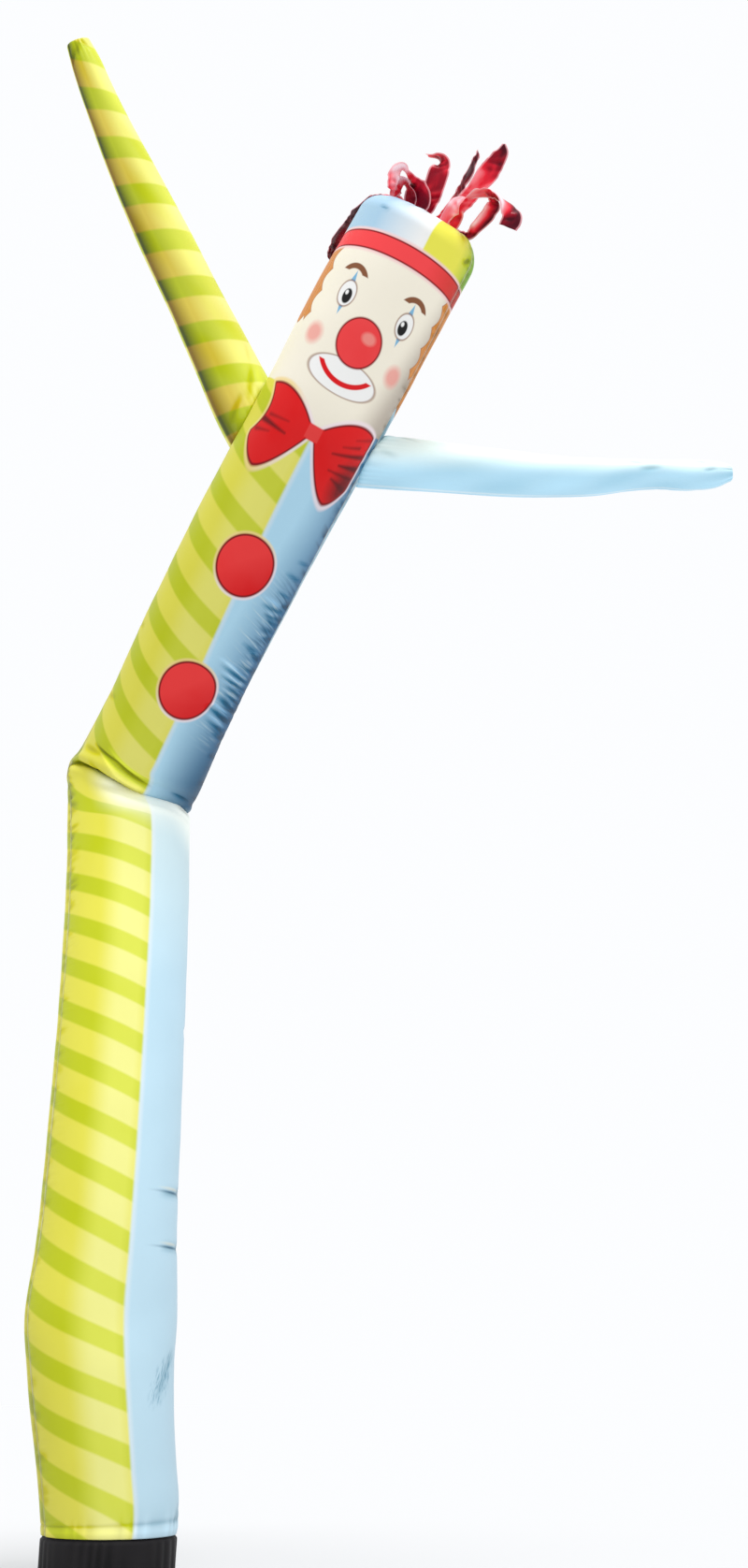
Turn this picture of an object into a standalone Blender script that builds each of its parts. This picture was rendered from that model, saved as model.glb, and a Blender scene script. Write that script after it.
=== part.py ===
"""Inflatable air dancer: a blown-up tube of thin coated cloth that bends over its
middle, with two tapered arms, a closed crown with streamers and a black base sleeve.

Metres, +Z up. The origin is the centre of the sleeve's open bottom edge, +X is to
the right of the dancer as it is faced, and its face looks along -Y.
"""

import math

import bpy
import numpy as np

NAME = "air_dancer"

# Driving dimensions
CLOTH = 0.002            # wall of the blown-up cloth
RIBBON = 0.0012          # thickness of a streamer
RIBBON_STEPS = 12        # faces along a streamer
GAP = 0.0003             # clearance between pieces that meet
SEAM = 0.0013            # between the two panels' edges at the side seams
SLEEVE_RADIUS = 0.1440
SLEEVE_HEIGHT = 0.147
HEM_HEIGHT = 0.132       # lower edge of the printed tube, over the sleeve's top
CROWN_RISE = 0.064       # how far the closed top puffs up past the last row
CROWN_RIDGE = 0.085      # half the length of the seam over the top
CROWN_RINGS = 6
BEND_REACH = 0.13        # how far each side of the bend the rings turn with it
END_REACH = 0.02         # the same, at the tube's and the arms' ends
TUBE_SIDES = 24          # faces round the tube
ARM_SIDES = 14
ARM_RINGS = 15
ARM_REACH = 0.04
ROOT_RINGS = 5           # the arm's rings that span the tube's wall
ROOT_MARGIN = 0.010      # cloth left inside the arm's root, round the tube's opening
TIP_RISE = 0.4           # of the last ring's half width
CUT_RINGS = slice(-20, -2)   # the tube's rings that the arms are cut back to
SLEEVE_PLEATS = 24

# The sleeve's rows from its hem to its top, which steps in under the tube's hem.
# Each row is (z, inset from the sleeve's radius, depth of its pleats).
SLEEVE_ROWS = (
    (0.000, 0.0000, 0.0030),
    (HEM_HEIGHT * 0.5, 0.0000, 0.0020),
    (HEM_HEIGHT * 0.95, 0.0015, 0.0015),
    (HEM_HEIGHT - 0.001, None, 0.0005),
    (SLEEVE_HEIGHT, None, 0.0000),
)

# The tube's sections, from its hem to where the crown rounds over. turn is how far
# its front is turned from -Y towards +X, and rings is how many rings lead to the
# next row.
TUBE_COLUMNS = ("x", "y", "z", "half_wide", "front", "back", "turn", "rings")
TUBE_ROWS = (
    (0.000, 0.000, HEM_HEIGHT, 0.1410, 0.1410, 0.1410, 29, 1),
    (0.000, 0.000, 0.158, 0.1440, 0.1440, 0.1440, 29, 2),
    (-0.012, 0.000, 0.250, 0.1460, 0.1470, 0.1460, 29, 2),
    (-0.030, 0.000, 0.370, 0.1520, 0.1520, 0.1500, 29, 1),
    (-0.040, 0.000, 0.460, 0.1590, 0.1540, 0.1500, 28, 2),
    (-0.047, 0.000, 0.560, 0.1680, 0.1500, 0.1480, 28, 2),   # bulge to the left
    (-0.046, 0.000, 0.700, 0.1590, 0.1520, 0.1500, 28, 3),
    (-0.047, 0.000, 0.950, 0.1530, 0.1530, 0.1510, 29, 3),
    (-0.049, 0.000, 1.250, 0.1510, 0.1520, 0.1520, 29, 3),
    (-0.055, 0.000, 1.540, 0.1500, 0.1540, 0.1520, 29, 2),
    (-0.062, 0.000, 1.690, 0.1520, 0.1580, 0.1520, 28, 2),
    (-0.065, 0.000, 1.765, 0.1560, 0.1540, 0.1530, 26, 2),   # shoulder under the bend
    (-0.067, 0.000, 1.805, 0.1600, 0.1360, 0.1540, 25, 1),
    (-0.068, 0.000, 1.830, 0.1630, 0.0850, 0.1550, 24, 1),   # bend
    (-0.055, -0.016, 1.847, 0.1620, 0.1400, 0.1540, 23, 2),
    (-0.032, -0.045, 1.877, 0.1590, 0.1560, 0.1540, 22, 3),
    (0.042, -0.144, 1.984, 0.1520, 0.1530, 0.1530, 18, 3),
    (0.135, -0.267, 2.122, 0.1520, 0.1530, 0.1530, 15, 3),
    (0.260, -0.414, 2.303, 0.1520, 0.1530, 0.1530, 11, 4),
    (0.430, -0.590, 2.543, 0.1530, 0.1530, 0.1530, 6, 4),
    (0.588, -0.744, 2.782, 0.1530, 0.1540, 0.1530, 2, 2),
    (0.655, -0.803, 2.882, 0.1500, 0.1520, 0.1520, 0, 0),    # crown begins
)

# The arms' sections, from inside the tube's side to the tip
ARM_COLUMNS = ("x", "y", "z", "half_wide", "half_deep")
RAISED_ROWS = (
    (0.312, -0.525, 2.484, 0.080, 0.076),
    (0.242, -0.563, 2.614, 0.080, 0.074),
    (0.194, -0.599, 2.709, 0.074, 0.070),
    (0.134, -0.652, 2.821, 0.068, 0.065),
    (0.065, -0.719, 2.943, 0.064, 0.061),
    (-0.004, -0.786, 3.070, 0.057, 0.054),
    (-0.060, -0.848, 3.174, 0.047, 0.046),
    (-0.105, -0.902, 3.266, 0.039, 0.038),
    (-0.127, -0.930, 3.317, 0.034, 0.032),
    (-0.142, -0.949, 3.350, 0.027, 0.023),
)
LEVEL_ROWS = (
    (0.447, -0.545, 2.466, 0.062, 0.072),
    (0.560, -0.510, 2.477, 0.060, 0.072),
    (0.693, -0.478, 2.486, 0.058, 0.067),
    (0.835, -0.438, 2.498, 0.055, 0.062),
    (0.976, -0.398, 2.514, 0.051, 0.057),
    (1.115, -0.360, 2.537, 0.044, 0.051),
    (1.214, -0.340, 2.557, 0.036, 0.046),
    (1.283, -0.326, 2.568, 0.033, 0.043),
    (1.372, -0.317, 2.573, 0.038, 0.040),
    (1.446, -0.313, 2.579, 0.030, 0.034),
    (1.470, -0.312, 2.582, 0.020, 0.026),
)


# The streamers, from the seam over the crown's top. Places are measured along the
# seam (side), up from it and to its front; spin turns the ribbon's width from
# side towards front.
STREAMER_COLUMNS = ("side", "up", "front", "spin", "wide")
STREAMERS = {
    "streamer_left_curl": (
        (-0.060, 0.0004, 0.004, 0, 0.022),
        (-0.062, 0.014, 0.004, 10, 0.026),
        (-0.070, 0.038, 0.012, 35, 0.038),
        (-0.088, 0.060, 0.026, 50, 0.045),
        (-0.114, 0.063, 0.034, 60, 0.045),
        (-0.130, 0.038, 0.034, 60, 0.044),
        (-0.124, 0.010, 0.032, 55, 0.038),
    ),
    "streamer_left_fold": (
        (-0.028, 0.0004, 0.006, 0, 0.024),
        (-0.027, 0.014, 0.010, 0, 0.036),
        (-0.026, 0.040, 0.034, 5, 0.045),
        (-0.044, 0.060, 0.056, 15, 0.044),
        (-0.066, 0.052, 0.080, 25, 0.040),
        (-0.072, 0.028, 0.092, 20, 0.030),
    ),
    "streamer_left_tall": (
        (-0.016, 0.0004, -0.004, 0, 0.024),
        (-0.016, 0.016, -0.006, 0, 0.032),
        (-0.020, 0.060, -0.006, 0, 0.045),
        (-0.030, 0.100, -0.010, 10, 0.048),
        (-0.042, 0.136, -0.020, 30, 0.044),
        (-0.066, 0.152, -0.030, 55, 0.034),
        (-0.094, 0.150, -0.036, 65, 0.020),
    ),
    "streamer_back_thin": (
        (0.014, 0.0004, -0.005, 0, 0.020),
        (0.014, 0.016, -0.012, 40, 0.024),
        (0.018, 0.060, -0.026, 54, 0.034),
        (0.016, 0.110, -0.036, 56, 0.036),
        (0.008, 0.160, -0.046, 58, 0.034),
        (-0.002, 0.204, -0.056, 60, 0.022),
    ),
    "streamer_right_tall": (
        (0.048, 0.0004, -0.004, 0, 0.022),
        (0.050, 0.016, -0.004, 5, 0.026),
        (0.059, 0.060, 0.004, 10, 0.036),
        (0.074, 0.106, 0.018, 5, 0.046),
        (0.086, 0.156, 0.028, 0, 0.048),
        (0.088, 0.190, 0.030, 10, 0.040),
        (0.086, 0.212, 0.030, 20, 0.020),
    ),
    "streamer_right_arch": (
        (0.040, 0.0004, 0.005, 0, 0.022),
        (0.041, 0.014, 0.012, 5, 0.026),
        (0.054, 0.050, 0.038, 20, 0.034),
        (0.086, 0.082, 0.060, 45, 0.040),
        (0.126, 0.098, 0.076, 65, 0.044),
        (0.164, 0.092, 0.086, 70, 0.045),
        (0.194, 0.072, 0.088, 65, 0.045),
        (0.206, 0.044, 0.084, 60, 0.040),
    ),
    "streamer_right_drop": (
        (0.074, 0.0004, -0.005, 0, 0.020),
        (0.078, 0.014, -0.008, 10, 0.026),
        (0.100, 0.044, -0.002, 30, 0.034),
        (0.122, 0.062, 0.018, 50, 0.040),
        (0.142, 0.056, 0.040, 60, 0.042),
        (0.148, 0.026, 0.056, 55, 0.040),
        (0.142, -0.008, 0.070, 45, 0.032),
    ),
    "streamer_right_stub": (
        (0.074, 0.0004, 0.005, 0, 0.020),
        (0.077, 0.012, 0.010, 0, 0.026),
        (0.086, 0.028, 0.030, 5, 0.034),
        (0.088, 0.026, 0.054, 10, 0.030),
    ),
    "streamer_left_hanging": (
        (-0.074, 0.0004, -0.004, 0, 0.020),
        (-0.080, 0.010, -0.012, 10, 0.022),
        (-0.104, 0.016, -0.012, 40, 0.032),
        (-0.134, 0.004, -0.006, 60, 0.040),
        (-0.158, -0.026, 0.000, 66, 0.044),
        (-0.169, -0.070, 0.002, 66, 0.045),
        (-0.173, -0.120, 0.002, 64, 0.045),
        (-0.173, -0.170, 0.002, 60, 0.042),
        (-0.169, -0.200, 0.004, 55, 0.030),
    ),
}


def column(rows, columns, name):
    """One named column of a table, as an array."""
    return np.array([row[columns.index(name)] for row in rows], dtype=float)


def smooth(knots, values, at):
    """A smooth curve through the values at the knots, read at each place in at."""
    slopes = np.gradient(values, knots, axis=0)
    i = np.clip(np.searchsorted(knots, at, side="right") - 1, 0, len(knots) - 2)
    width = knots[i + 1] - knots[i]
    t = (at - knots[i]) / width
    if values.ndim > 1:
        t, width = t[:, None], width[:, None]
    rise = (3 - 2 * t) * t * t
    leave = t * (1 - t) ** 2 * width
    arrive = t * t * (t - 1) * width
    return (
        values[i] * (1 - rise) + values[i + 1] * rise
        + slopes[i] * leave + slopes[i + 1] * arrive
    )


def unit(v):
    return v / np.linalg.norm(v, axis=-1, keepdims=True)


def stations(rows, columns):
    """The rows' distances along the centre line, and their centres."""
    centres = np.stack([column(rows, columns, axis) for axis in "xyz"], axis=1)
    steps = np.linalg.norm(np.diff(centres, axis=0), axis=1)
    return np.concatenate([[0], np.cumsum(steps)]), centres


def headings(knots, centres, at, reach):
    """The centre line's direction at each place, taken over reach each way."""
    to_end = np.minimum(at - knots[0], knots[-1] - at)
    reach = np.clip(to_end, END_REACH, reach)
    low = np.clip(at - reach, knots[0], knots[-1])
    high = np.clip(at + reach, knots[0], knots[-1])
    return unit(smooth(knots, centres, high) - smooth(knots, centres, low))


def tube_rings():
    """Every ring of the tube as (centre, side, front, half_wide, front_deep, back_deep)."""
    knots, centres = stations(TUBE_ROWS, TUBE_COLUMNS)
    counts = column(TUBE_ROWS, TUBE_COLUMNS, "rings").astype(int)
    at = [knots[-1]]
    for i, count in enumerate(counts[:-1]):
        at += [knots[i] + (knots[i + 1] - knots[i]) * k / count for k in range(count)]
    at = np.array(sorted(at))
    read = {
        name: smooth(knots, column(TUBE_ROWS, TUBE_COLUMNS, name), at)
        for name in ("half_wide", "front", "back", "turn")
    }
    middle = smooth(knots, centres, at)
    axis = headings(knots, centres, at, BEND_REACH)
    rings = []
    for i in range(len(at)):
        turn = math.radians(read["turn"][i])
        faces = np.array([math.sin(turn), -math.cos(turn), 0.0])
        front = unit(faces - axis[i] * (faces @ axis[i]))
        side = np.cross(axis[i], front)
        sizes = (read["half_wide"][i], read["front"][i], read["back"][i])
        rings.append((middle[i], side, front, *sizes))
    return rings + crown_rings(rings[-1], axis[-1])


def crown_rings(last, axis):
    """The rings that round the top over to its seam, a quarter ellipse each way."""
    centre, side, front, half_wide, front_deep, back_deep = last
    rings = []
    for k in range(1, CROWN_RINGS + 1):
        angle = math.pi / 2 * k / CROWN_RINGS
        draw = math.cos(angle)
        wide = CROWN_RIDGE + (half_wide - CROWN_RIDGE) * draw
        lift = axis * CROWN_RISE * math.sin(angle)
        rings.append((centre + lift, side, front, wide, front_deep * draw, back_deep * draw))
    return rings


def ring_point(ring, angle, grow=0.0):
    """A point of a ring: angle 0 is its front, and a quarter turn is its +side."""
    centre, side, front, half_wide, front_deep, back_deep = ring
    deep = front_deep if math.cos(angle) > 0 else back_deep
    across = (half_wide + grow) * math.sin(angle)
    return centre + side * across + front * ((deep + grow) * math.cos(angle))


def loop_points(rings, sides, grow=0.0):
    """The points of closed rings, ring by ring."""
    return [ring_point(ring, math.tau * c / sides, grow) for ring in rings for c in range(sides)]


def material(name, colour, roughness):
    made = bpy.data.materials.new(name)
    made.use_nodes = True
    shader = made.node_tree.nodes["Principled BSDF"]
    shader.inputs["Base Color"].default_value = (*colour, 1.0)
    shader.inputs["Roughness"].default_value = roughness
    return made


def add_object(name, points, faces, collection, paint=None):
    mesh = bpy.data.meshes.new(name)
    mesh.from_pydata([tuple(p) for p in points], [], faces)
    mesh.validate()
    made = bpy.data.objects.new(name, mesh)
    collection.objects.link(made)
    if paint:
        mesh.materials.append(paint)
    mesh.shade_smooth()
    return made


def add_wall(made, thickness):
    """Turn an open surface into cloth, its outer face staying where it is."""
    wall = made.modifiers.new("Cloth", "SOLIDIFY")
    wall.thickness = thickness
    wall.offset = -1.0
    wall.use_even_offset = True


def sheet_faces(rows, across):
    """Quads of a grid of points, row by row, facing out of the tube."""
    return [
        (r * across + c, r * across + c + 1, (r + 1) * across + c + 1, (r + 1) * across + c)
        for r in range(rows - 1)
        for c in range(across - 1)
    ]


def loop_faces(rings, sides):
    """Quads between closed rings of points."""
    return [
        (r * sides + c, r * sides + (c + 1) % sides,
         (r + 1) * sides + (c + 1) % sides, (r + 1) * sides + c)
        for r in range(rings - 1)
        for c in range(sides)
    ]


def add_panel(name, rings, facing, collection, paint):
    """Half of the tube, from one side seam to the other, front (1) or back (-1)."""
    half = TUBE_SIDES // 2
    points = []
    for ring in rings:
        shift = ring[2] * (facing * SEAM / 2)
        for c in range(half + 1):
            angle = math.pi * (c / half - 0.5)
            if facing < 0:
                angle += math.pi
            points.append(ring_point(ring, angle) + shift)
    faces = sheet_faces(len(rings), half + 1)
    made = add_object(name, points, faces, collection, paint)
    add_wall(made, CLOTH)
    return made


def add_cutter(name, rings, sides, grow, collection):
    """The closed form of some rings, a little larger or smaller, for cutting with."""
    points = loop_points(rings, sides, grow)
    faces = loop_faces(len(rings), sides)
    last = (len(rings) - 1) * sides
    faces.append(tuple(reversed(range(sides))))
    faces.append(tuple(range(last, last + sides)))
    made = add_object(name, points, faces, collection)
    made.hide_render = True
    made.display_type = "WIRE"
    return made


def arm_rings(rows):
    """The arm's rings as (centre, side, front, half_wide, front_deep, back_deep)."""
    knots, centres = stations(rows, ARM_COLUMNS)
    at = np.linspace(0, knots[-1], ARM_RINGS)
    middle = smooth(knots, centres, at)
    axis = headings(knots, centres, at, ARM_REACH)
    wide = smooth(knots, column(rows, ARM_COLUMNS, "half_wide"), at)
    deep = smooth(knots, column(rows, ARM_COLUMNS, "half_deep"), at)
    rings = []
    for i in range(len(at)):
        front = unit(np.array([0.0, -1.0, 0.0]) + axis[i] * axis[i][1])
        side = np.cross(axis[i], front)
        rings.append((middle[i], side, front, wide[i], deep[i], deep[i]))
    return rings


def add_arm(name, rings, cutter, collection, paint):
    """A tapered sleeve that opens against the tube's side, with a rounded tip."""
    points = loop_points(rings, ARM_SIDES)
    faces = loop_faces(len(rings), ARM_SIDES)
    last = (len(rings) - 1) * ARM_SIDES
    centre, side, front, half_wide = rings[-1][:4]
    points.append(centre + np.cross(front, side) * TIP_RISE * half_wide)
    faces += [(last + c, last + (c + 1) % ARM_SIDES, len(points) - 1) for c in range(ARM_SIDES)]
    made = add_object(name, points, faces, collection, paint)
    add_wall(made, CLOTH)
    add_cut(made, cutter)


def add_cut(made, cutter):
    cut = made.modifiers.new("Cut", "BOOLEAN")
    cut.operation = "DIFFERENCE"
    cut.solver = "EXACT"
    cut.object = cutter


def add_base_sleeve(collection, paint):
    """The black sleeve: a short tube whose cloth stands in soft upright pleats."""
    sides = SLEEVE_PLEATS * 2
    hem = TUBE_ROWS[0][TUBE_COLUMNS.index("half_wide")]
    under_hem = (hem - CLOTH) * math.cos(math.pi / TUBE_SIDES) - GAP
    points = []
    for height, inset, flute in SLEEVE_ROWS:
        radius = under_hem if inset is None else SLEEVE_RADIUS - inset
        for c in range(sides):
            angle = math.tau * c / sides
            reach = radius - flute * (c % 2)
            points.append((reach * math.sin(angle), -reach * math.cos(angle), height))
    faces = loop_faces(len(SLEEVE_ROWS), sides)
    add_wall(add_object("base_sleeve", points, faces, collection, paint), CLOTH)


def add_streamer(name, rows, crown, collection, paint):
    """A ribbon that stands, curls or hangs from the seam over the crown."""
    centre, side, front = crown[:3]
    up = np.cross(front, side)
    places = np.array([row[:3] for row in rows]) @ np.stack([side, up, front]) + centre
    knots = np.concatenate([[0], np.cumsum(np.linalg.norm(np.diff(places, axis=0), axis=1))])
    at = np.linspace(0, knots[-1], RIBBON_STEPS + 1)
    middle = smooth(knots, places, at)
    along = unit(np.gradient(middle, at, axis=0))
    along[0] = up
    spin = np.radians(smooth(knots, column(rows, STREAMER_COLUMNS, "spin"), at))
    wide = smooth(knots, column(rows, STREAMER_COLUMNS, "wide"), at)
    points = []
    for i in range(len(at)):
        width = side * math.cos(spin[i]) + front * math.sin(spin[i])
        width = unit(width - along[i] * (width @ along[i]))
        points += [middle[i] - width * wide[i] / 2, middle[i] + width * wide[i] / 2]
    made = add_object(name, points, sheet_faces(len(at), 2), collection, paint)
    wall = made.modifiers.new("Ribbon", "SOLIDIFY")
    wall.thickness = RIBBON
    wall.offset = 0.0


def main():
    for old in list(bpy.data.objects):
        bpy.data.objects.remove(old, do_unlink=True)
    parts = bpy.data.collections.new(NAME)
    cutters = bpy.data.collections.new("cutters")
    bpy.context.scene.collection.children.link(parts)
    bpy.context.scene.collection.children.link(cutters)

    lime = material("yellow and lime print", (0.82, 0.84, 0.16), 0.5)
    blue = material("light blue cloth", (0.56, 0.74, 0.88), 0.5)
    black = material("black cloth", (0.02, 0.02, 0.022), 0.7)
    red = material("red satin ribbon", (0.58, 0.01, 0.03), 0.3)

    rings = tube_rings()
    panels = [
        add_panel("front_panel", rings, 1, parts, lime),
        add_panel("back_panel", rings, -1, parts, lime),
    ]
    tube = add_cutter("cut_tube", rings[CUT_RINGS], TUBE_SIDES, GAP + SEAM / 2, cutters)
    for name, rows, paint in (
        ("arm_raised", RAISED_ROWS, lime),
        ("arm_level", LEVEL_ROWS, blue),
    ):
        arm = arm_rings(rows)
        add_arm(name, arm, tube, parts, paint)
        root = add_cutter("cut_" + name, arm[:ROOT_RINGS], ARM_SIDES, -ROOT_MARGIN, cutters)
        for panel in panels:
            add_cut(panel, root)
    add_base_sleeve(parts, black)
    for name, rows in STREAMERS.items():
        add_streamer(name, rows, rings[-1], parts, red)


main()
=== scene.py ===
import math

import bpy
import numpy as np
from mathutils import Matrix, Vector
from mathutils.bvhtree import BVHTree


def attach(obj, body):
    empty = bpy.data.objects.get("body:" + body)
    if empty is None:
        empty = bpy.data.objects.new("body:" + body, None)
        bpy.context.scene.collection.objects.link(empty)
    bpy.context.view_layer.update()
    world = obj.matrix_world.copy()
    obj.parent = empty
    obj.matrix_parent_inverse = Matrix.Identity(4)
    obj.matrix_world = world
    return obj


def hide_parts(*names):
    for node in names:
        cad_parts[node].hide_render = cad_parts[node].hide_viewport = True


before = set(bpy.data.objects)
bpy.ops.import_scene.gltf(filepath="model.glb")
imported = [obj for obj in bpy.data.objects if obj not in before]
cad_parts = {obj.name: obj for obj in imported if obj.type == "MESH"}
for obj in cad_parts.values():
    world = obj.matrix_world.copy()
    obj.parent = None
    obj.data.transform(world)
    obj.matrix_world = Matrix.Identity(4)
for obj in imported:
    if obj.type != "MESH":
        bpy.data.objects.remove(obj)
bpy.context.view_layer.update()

# ---- camera, floor and lights ----

camera = {
    "place": (0.5585, -3.41, 0.40),
    "pitch": 113.0,         # degrees; 90 looks level
    "lens": 33.08,
    "film": 36.0,
}
studio = {
    "floorRadius": 60.0,
    "air": (0.975, 0.985, 1.0),
    "airStrength": 1.0,
    "sunStrength": 2.0,
    "sunTurn": (33.0, 0.0, 20.0),   # degrees
    "sunSoftness": 25.0,
}


def addCamera():
    bpy.ops.object.camera_add(
        location=camera["place"],
        rotation=(math.radians(camera["pitch"]), 0, 0),
    )
    made = bpy.context.object
    made.data.sensor_fit = "VERTICAL"
    made.data.sensor_height = camera["film"]
    made.data.lens = camera["lens"]
    made.data.clip_end = 200
    bpy.context.scene.camera = made


def fill(node, values):
    for name, value in values.items():
        node.inputs[name].default_value = value


def addStudio():
    bpy.ops.mesh.primitive_circle_add(
        vertices=96, radius=studio["floorRadius"], fill_type="NGON"
    )
    floor = bpy.context.object
    floor.name = "floor"
    plain = bpy.data.materials.new("plain floor")
    plain.use_nodes = True
    # as bright as the air behind it, so that no horizon shows
    sunShare = studio["sunStrength"] * math.cos(math.radians(studio["sunTurn"][0])) / math.pi
    air = [studio["airStrength"] * part for part in studio["air"]]
    floorTone = [part / (part + sunShare) for part in air]
    fill(plain.node_tree.nodes["Principled BSDF"], {
        "Base Color": (*floorTone, 1), "Roughness": 0.9, "Specular IOR Level": 0.0,
    })
    floor.data.materials.append(plain)
    world = bpy.data.worlds.new("studio air")
    world.use_nodes = True
    fill(world.node_tree.nodes["Background"], {
        "Color": (*studio["air"], 1), "Strength": studio["airStrength"],
    })
    bpy.context.scene.world = world
    bpy.ops.object.light_add(
        type="SUN", rotation=[math.radians(a) for a in studio["sunTurn"]]
    )
    sun = bpy.context.object
    sun.data.energy = studio["sunStrength"]
    sun.data.angle = math.radians(studio["sunSoftness"])
    bpy.context.scene.view_settings.view_transform = "Standard"


addCamera()
addStudio()
print("camera, floor and lights are in")

# ---- sections ----

# rows are in millimetres and turns in degrees; everything else is in metres
tube = {
    "columns": ("x", "y", "z", "halfWide", "front", "back", "turn"),
    "rows": (
        (0, 0, 132, 141, 141, 141, 29),
        (0, 0, 158, 144, 144, 144, 29),
        (-12, 0, 250, 146, 147, 146, 29),
        (-30, 0, 370, 152, 152, 150, 29),
        (-40, 0, 460, 159, 154, 150, 28),
        (-47, 0, 560, 168, 150, 148, 28),   # bulge to the left
        (-46, 0, 700, 159, 152, 150, 28),
        (-47, 0, 950, 153, 153, 151, 29),
        (-49, 0, 1250, 151, 152, 152, 29),
        (-55, 0, 1540, 150, 154, 152, 29),
        (-62, 0, 1690, 152, 158, 152, 28),
        (-65, 0, 1765, 156, 154, 153, 26),   # shoulder
        (-67, 0, 1805, 160, 136, 154, 25),
        (-68, 0, 1830, 163, 85, 155, 24),   # bend
        (-55, -16, 1847, 162, 140, 154, 23),
        (-32, -45, 1877, 159, 156, 154, 22),
        (42, -144, 1984, 152, 153, 153, 18),
        (135, -267, 2122, 152, 153, 153, 15),
        (260, -414, 2303, 152, 153, 153, 11),
        (430, -590, 2543, 153, 153, 153, 6),
        (588, -744, 2782, 153, 154, 153, 2),
        (655, -803, 2882, 150, 152, 152, 0),   # crown begins
    ),
    "bendReach": 0.13,      # how far each side of the bend its sections turn
    "endReach": 0.02,
    "bendRow": 13,
    "crownRise": 0.064,
    "crownRidge": 0.085,    # half the length of the seam over the top
    "radius": 0.153,
    "seamGap": 0.0008,
    "allowance": 0.010,     # cloth turned in along a seam
    "cloth": 0.0012,
}
raisedArm = {
    "columns": ("x", "y", "z", "halfWide", "halfDeep"),
    "rows": (
        (312, -525, 2484, 80, 76),
        (242, -563, 2614, 80, 74),
        (194, -599, 2709, 74, 70),
        (134, -652, 2821, 68, 65),
        (65, -719, 2943, 64, 61),
        (-4, -786, 3070, 57, 54),
        (-60, -848, 3174, 47, 46),
        (-105, -902, 3266, 39, 38),
        (-127, -930, 3317, 34, 32),
        (-142, -949, 3350, 27, 23),
    ),
    "tipRise": 0.010,
    "tipRidge": 0.016,
}
levelArm = {
    "columns": raisedArm["columns"],
    "rows": (
        (447, -545, 2466, 62, 72),
        (560, -510, 2477, 60, 72),
        (693, -478, 2486, 58, 67),
        (835, -438, 2498, 55, 62),
        (976, -398, 2514, 51, 57),
        (1115, -360, 2537, 44, 51),
        (1214, -340, 2557, 36, 46),
        (1283, -326, 2568, 33, 43),
        (1372, -317, 2573, 38, 40),
        (1446, -313, 2579, 30, 34),
        (1470, -312, 2582, 20, 26),
    ),
    "tipRise": 0.008,
    "tipRidge": 0.014,
}


def column(table, name):
    at = table["columns"].index(name)
    values = np.array([row[at] for row in table["rows"]], dtype=float)
    return values if name == "turn" else values / 1000


# a smooth curve through values at knots, read at each place in at
def smooth(knots, values, at):
    slopes = np.gradient(values, knots, axis=0)
    i = np.clip(np.searchsorted(knots, at, side="right") - 1, 0, len(knots) - 2)
    width = knots[i + 1] - knots[i]
    t = (at - knots[i]) / width
    if values.ndim > 1:
        t, width = t[..., None], width[..., None]
    rise = (3 - 2 * t) * t * t
    return (
        values[i] * (1 - rise) + values[i + 1] * rise
        + slopes[i] * t * (1 - t) ** 2 * width
        + slopes[i + 1] * t * t * (t - 1) * width
    )


def unit(v):
    return v / np.linalg.norm(v, axis=-1, keepdims=True)


# a direction turned square to an axis
def squareTo(axis, direction):
    return unit(direction - axis * np.sum(direction * axis, axis=-1, keepdims=True))


# how far along a line of points each one is
def runAlong(points):
    steps = np.linalg.norm(np.diff(points, axis=0), axis=1)
    return np.concatenate([[0], np.cumsum(steps)])


def stations(table):
    centres = np.stack([column(table, axis) for axis in "xyz"], axis=1)
    return runAlong(centres), centres


def headings(knots, centres, at, reach, endReach):
    toEnd = np.minimum(at - knots[0], knots[-1] - at)
    reach = np.clip(toEnd, endReach, reach)
    low = np.clip(at - reach, knots[0], knots[-1])
    high = np.clip(at + reach, knots[0], knots[-1])
    return unit(smooth(knots, centres, high) - smooth(knots, centres, low))


# points round a section, from its middle and its half sizes
def ring(middle, side, front, wide, deep, angles):
    return (
        middle + side * (wide * np.sin(angles))[..., None]
        + front * (deep * np.cos(angles))[..., None]
    )


# outward directions of a grid of points, row by row
def outward(points):
    along = np.gradient(points, axis=0)
    across = np.gradient(points, axis=1)
    turned = np.cross(across, along)
    size = np.linalg.norm(turned, axis=-1, keepdims=True)
    return turned / np.maximum(size, 1e-12)


def ease(x):
    x = np.clip(x, 0, 1)
    return x * x * (3 - 2 * x)


def bump(x, middle, width):
    return np.exp(-((x - middle) / width) ** 2)


# soft troughs (depth below zero) and ridges; each fold is (across, along, length,
# tilt in degrees, width, depth), in millimetres
def foldHeight(across, along, folds):
    height = np.zeros_like(along)
    for fold in folds:
        tilt = fold[3]
        atAcross, atAlong, length, width, depth = (fold[i] / 1000 for i in (0, 1, 2, 4, 5))
        reach = length / 2 + width * 3
        near = (np.abs(across - atAcross) < reach) & (np.abs(along - atAlong) < reach)
        if not near.any():
            continue
        dx = across[near] - atAcross
        dy = along[near] - atAlong
        turn = math.radians(tilt)
        run = dx * math.cos(turn) + dy * math.sin(turn)
        off = dy * math.cos(turn) - dx * math.sin(turn)
        taper = np.clip(1 - (run / (length / 2)) ** 2, 0, 1) ** 1.4
        height[near] += depth * taper * np.exp(-(off / width) ** 2)
    return height


# drawn in this order, each between two sizes in millimetres and degrees
puckerSizes = {
    "length": (36, 110), "width": (4.5, 8.5), "depth": (-2.4, -0.6), "tilt": (-14, 14),
    "gap": (12, 40),
}


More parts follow.
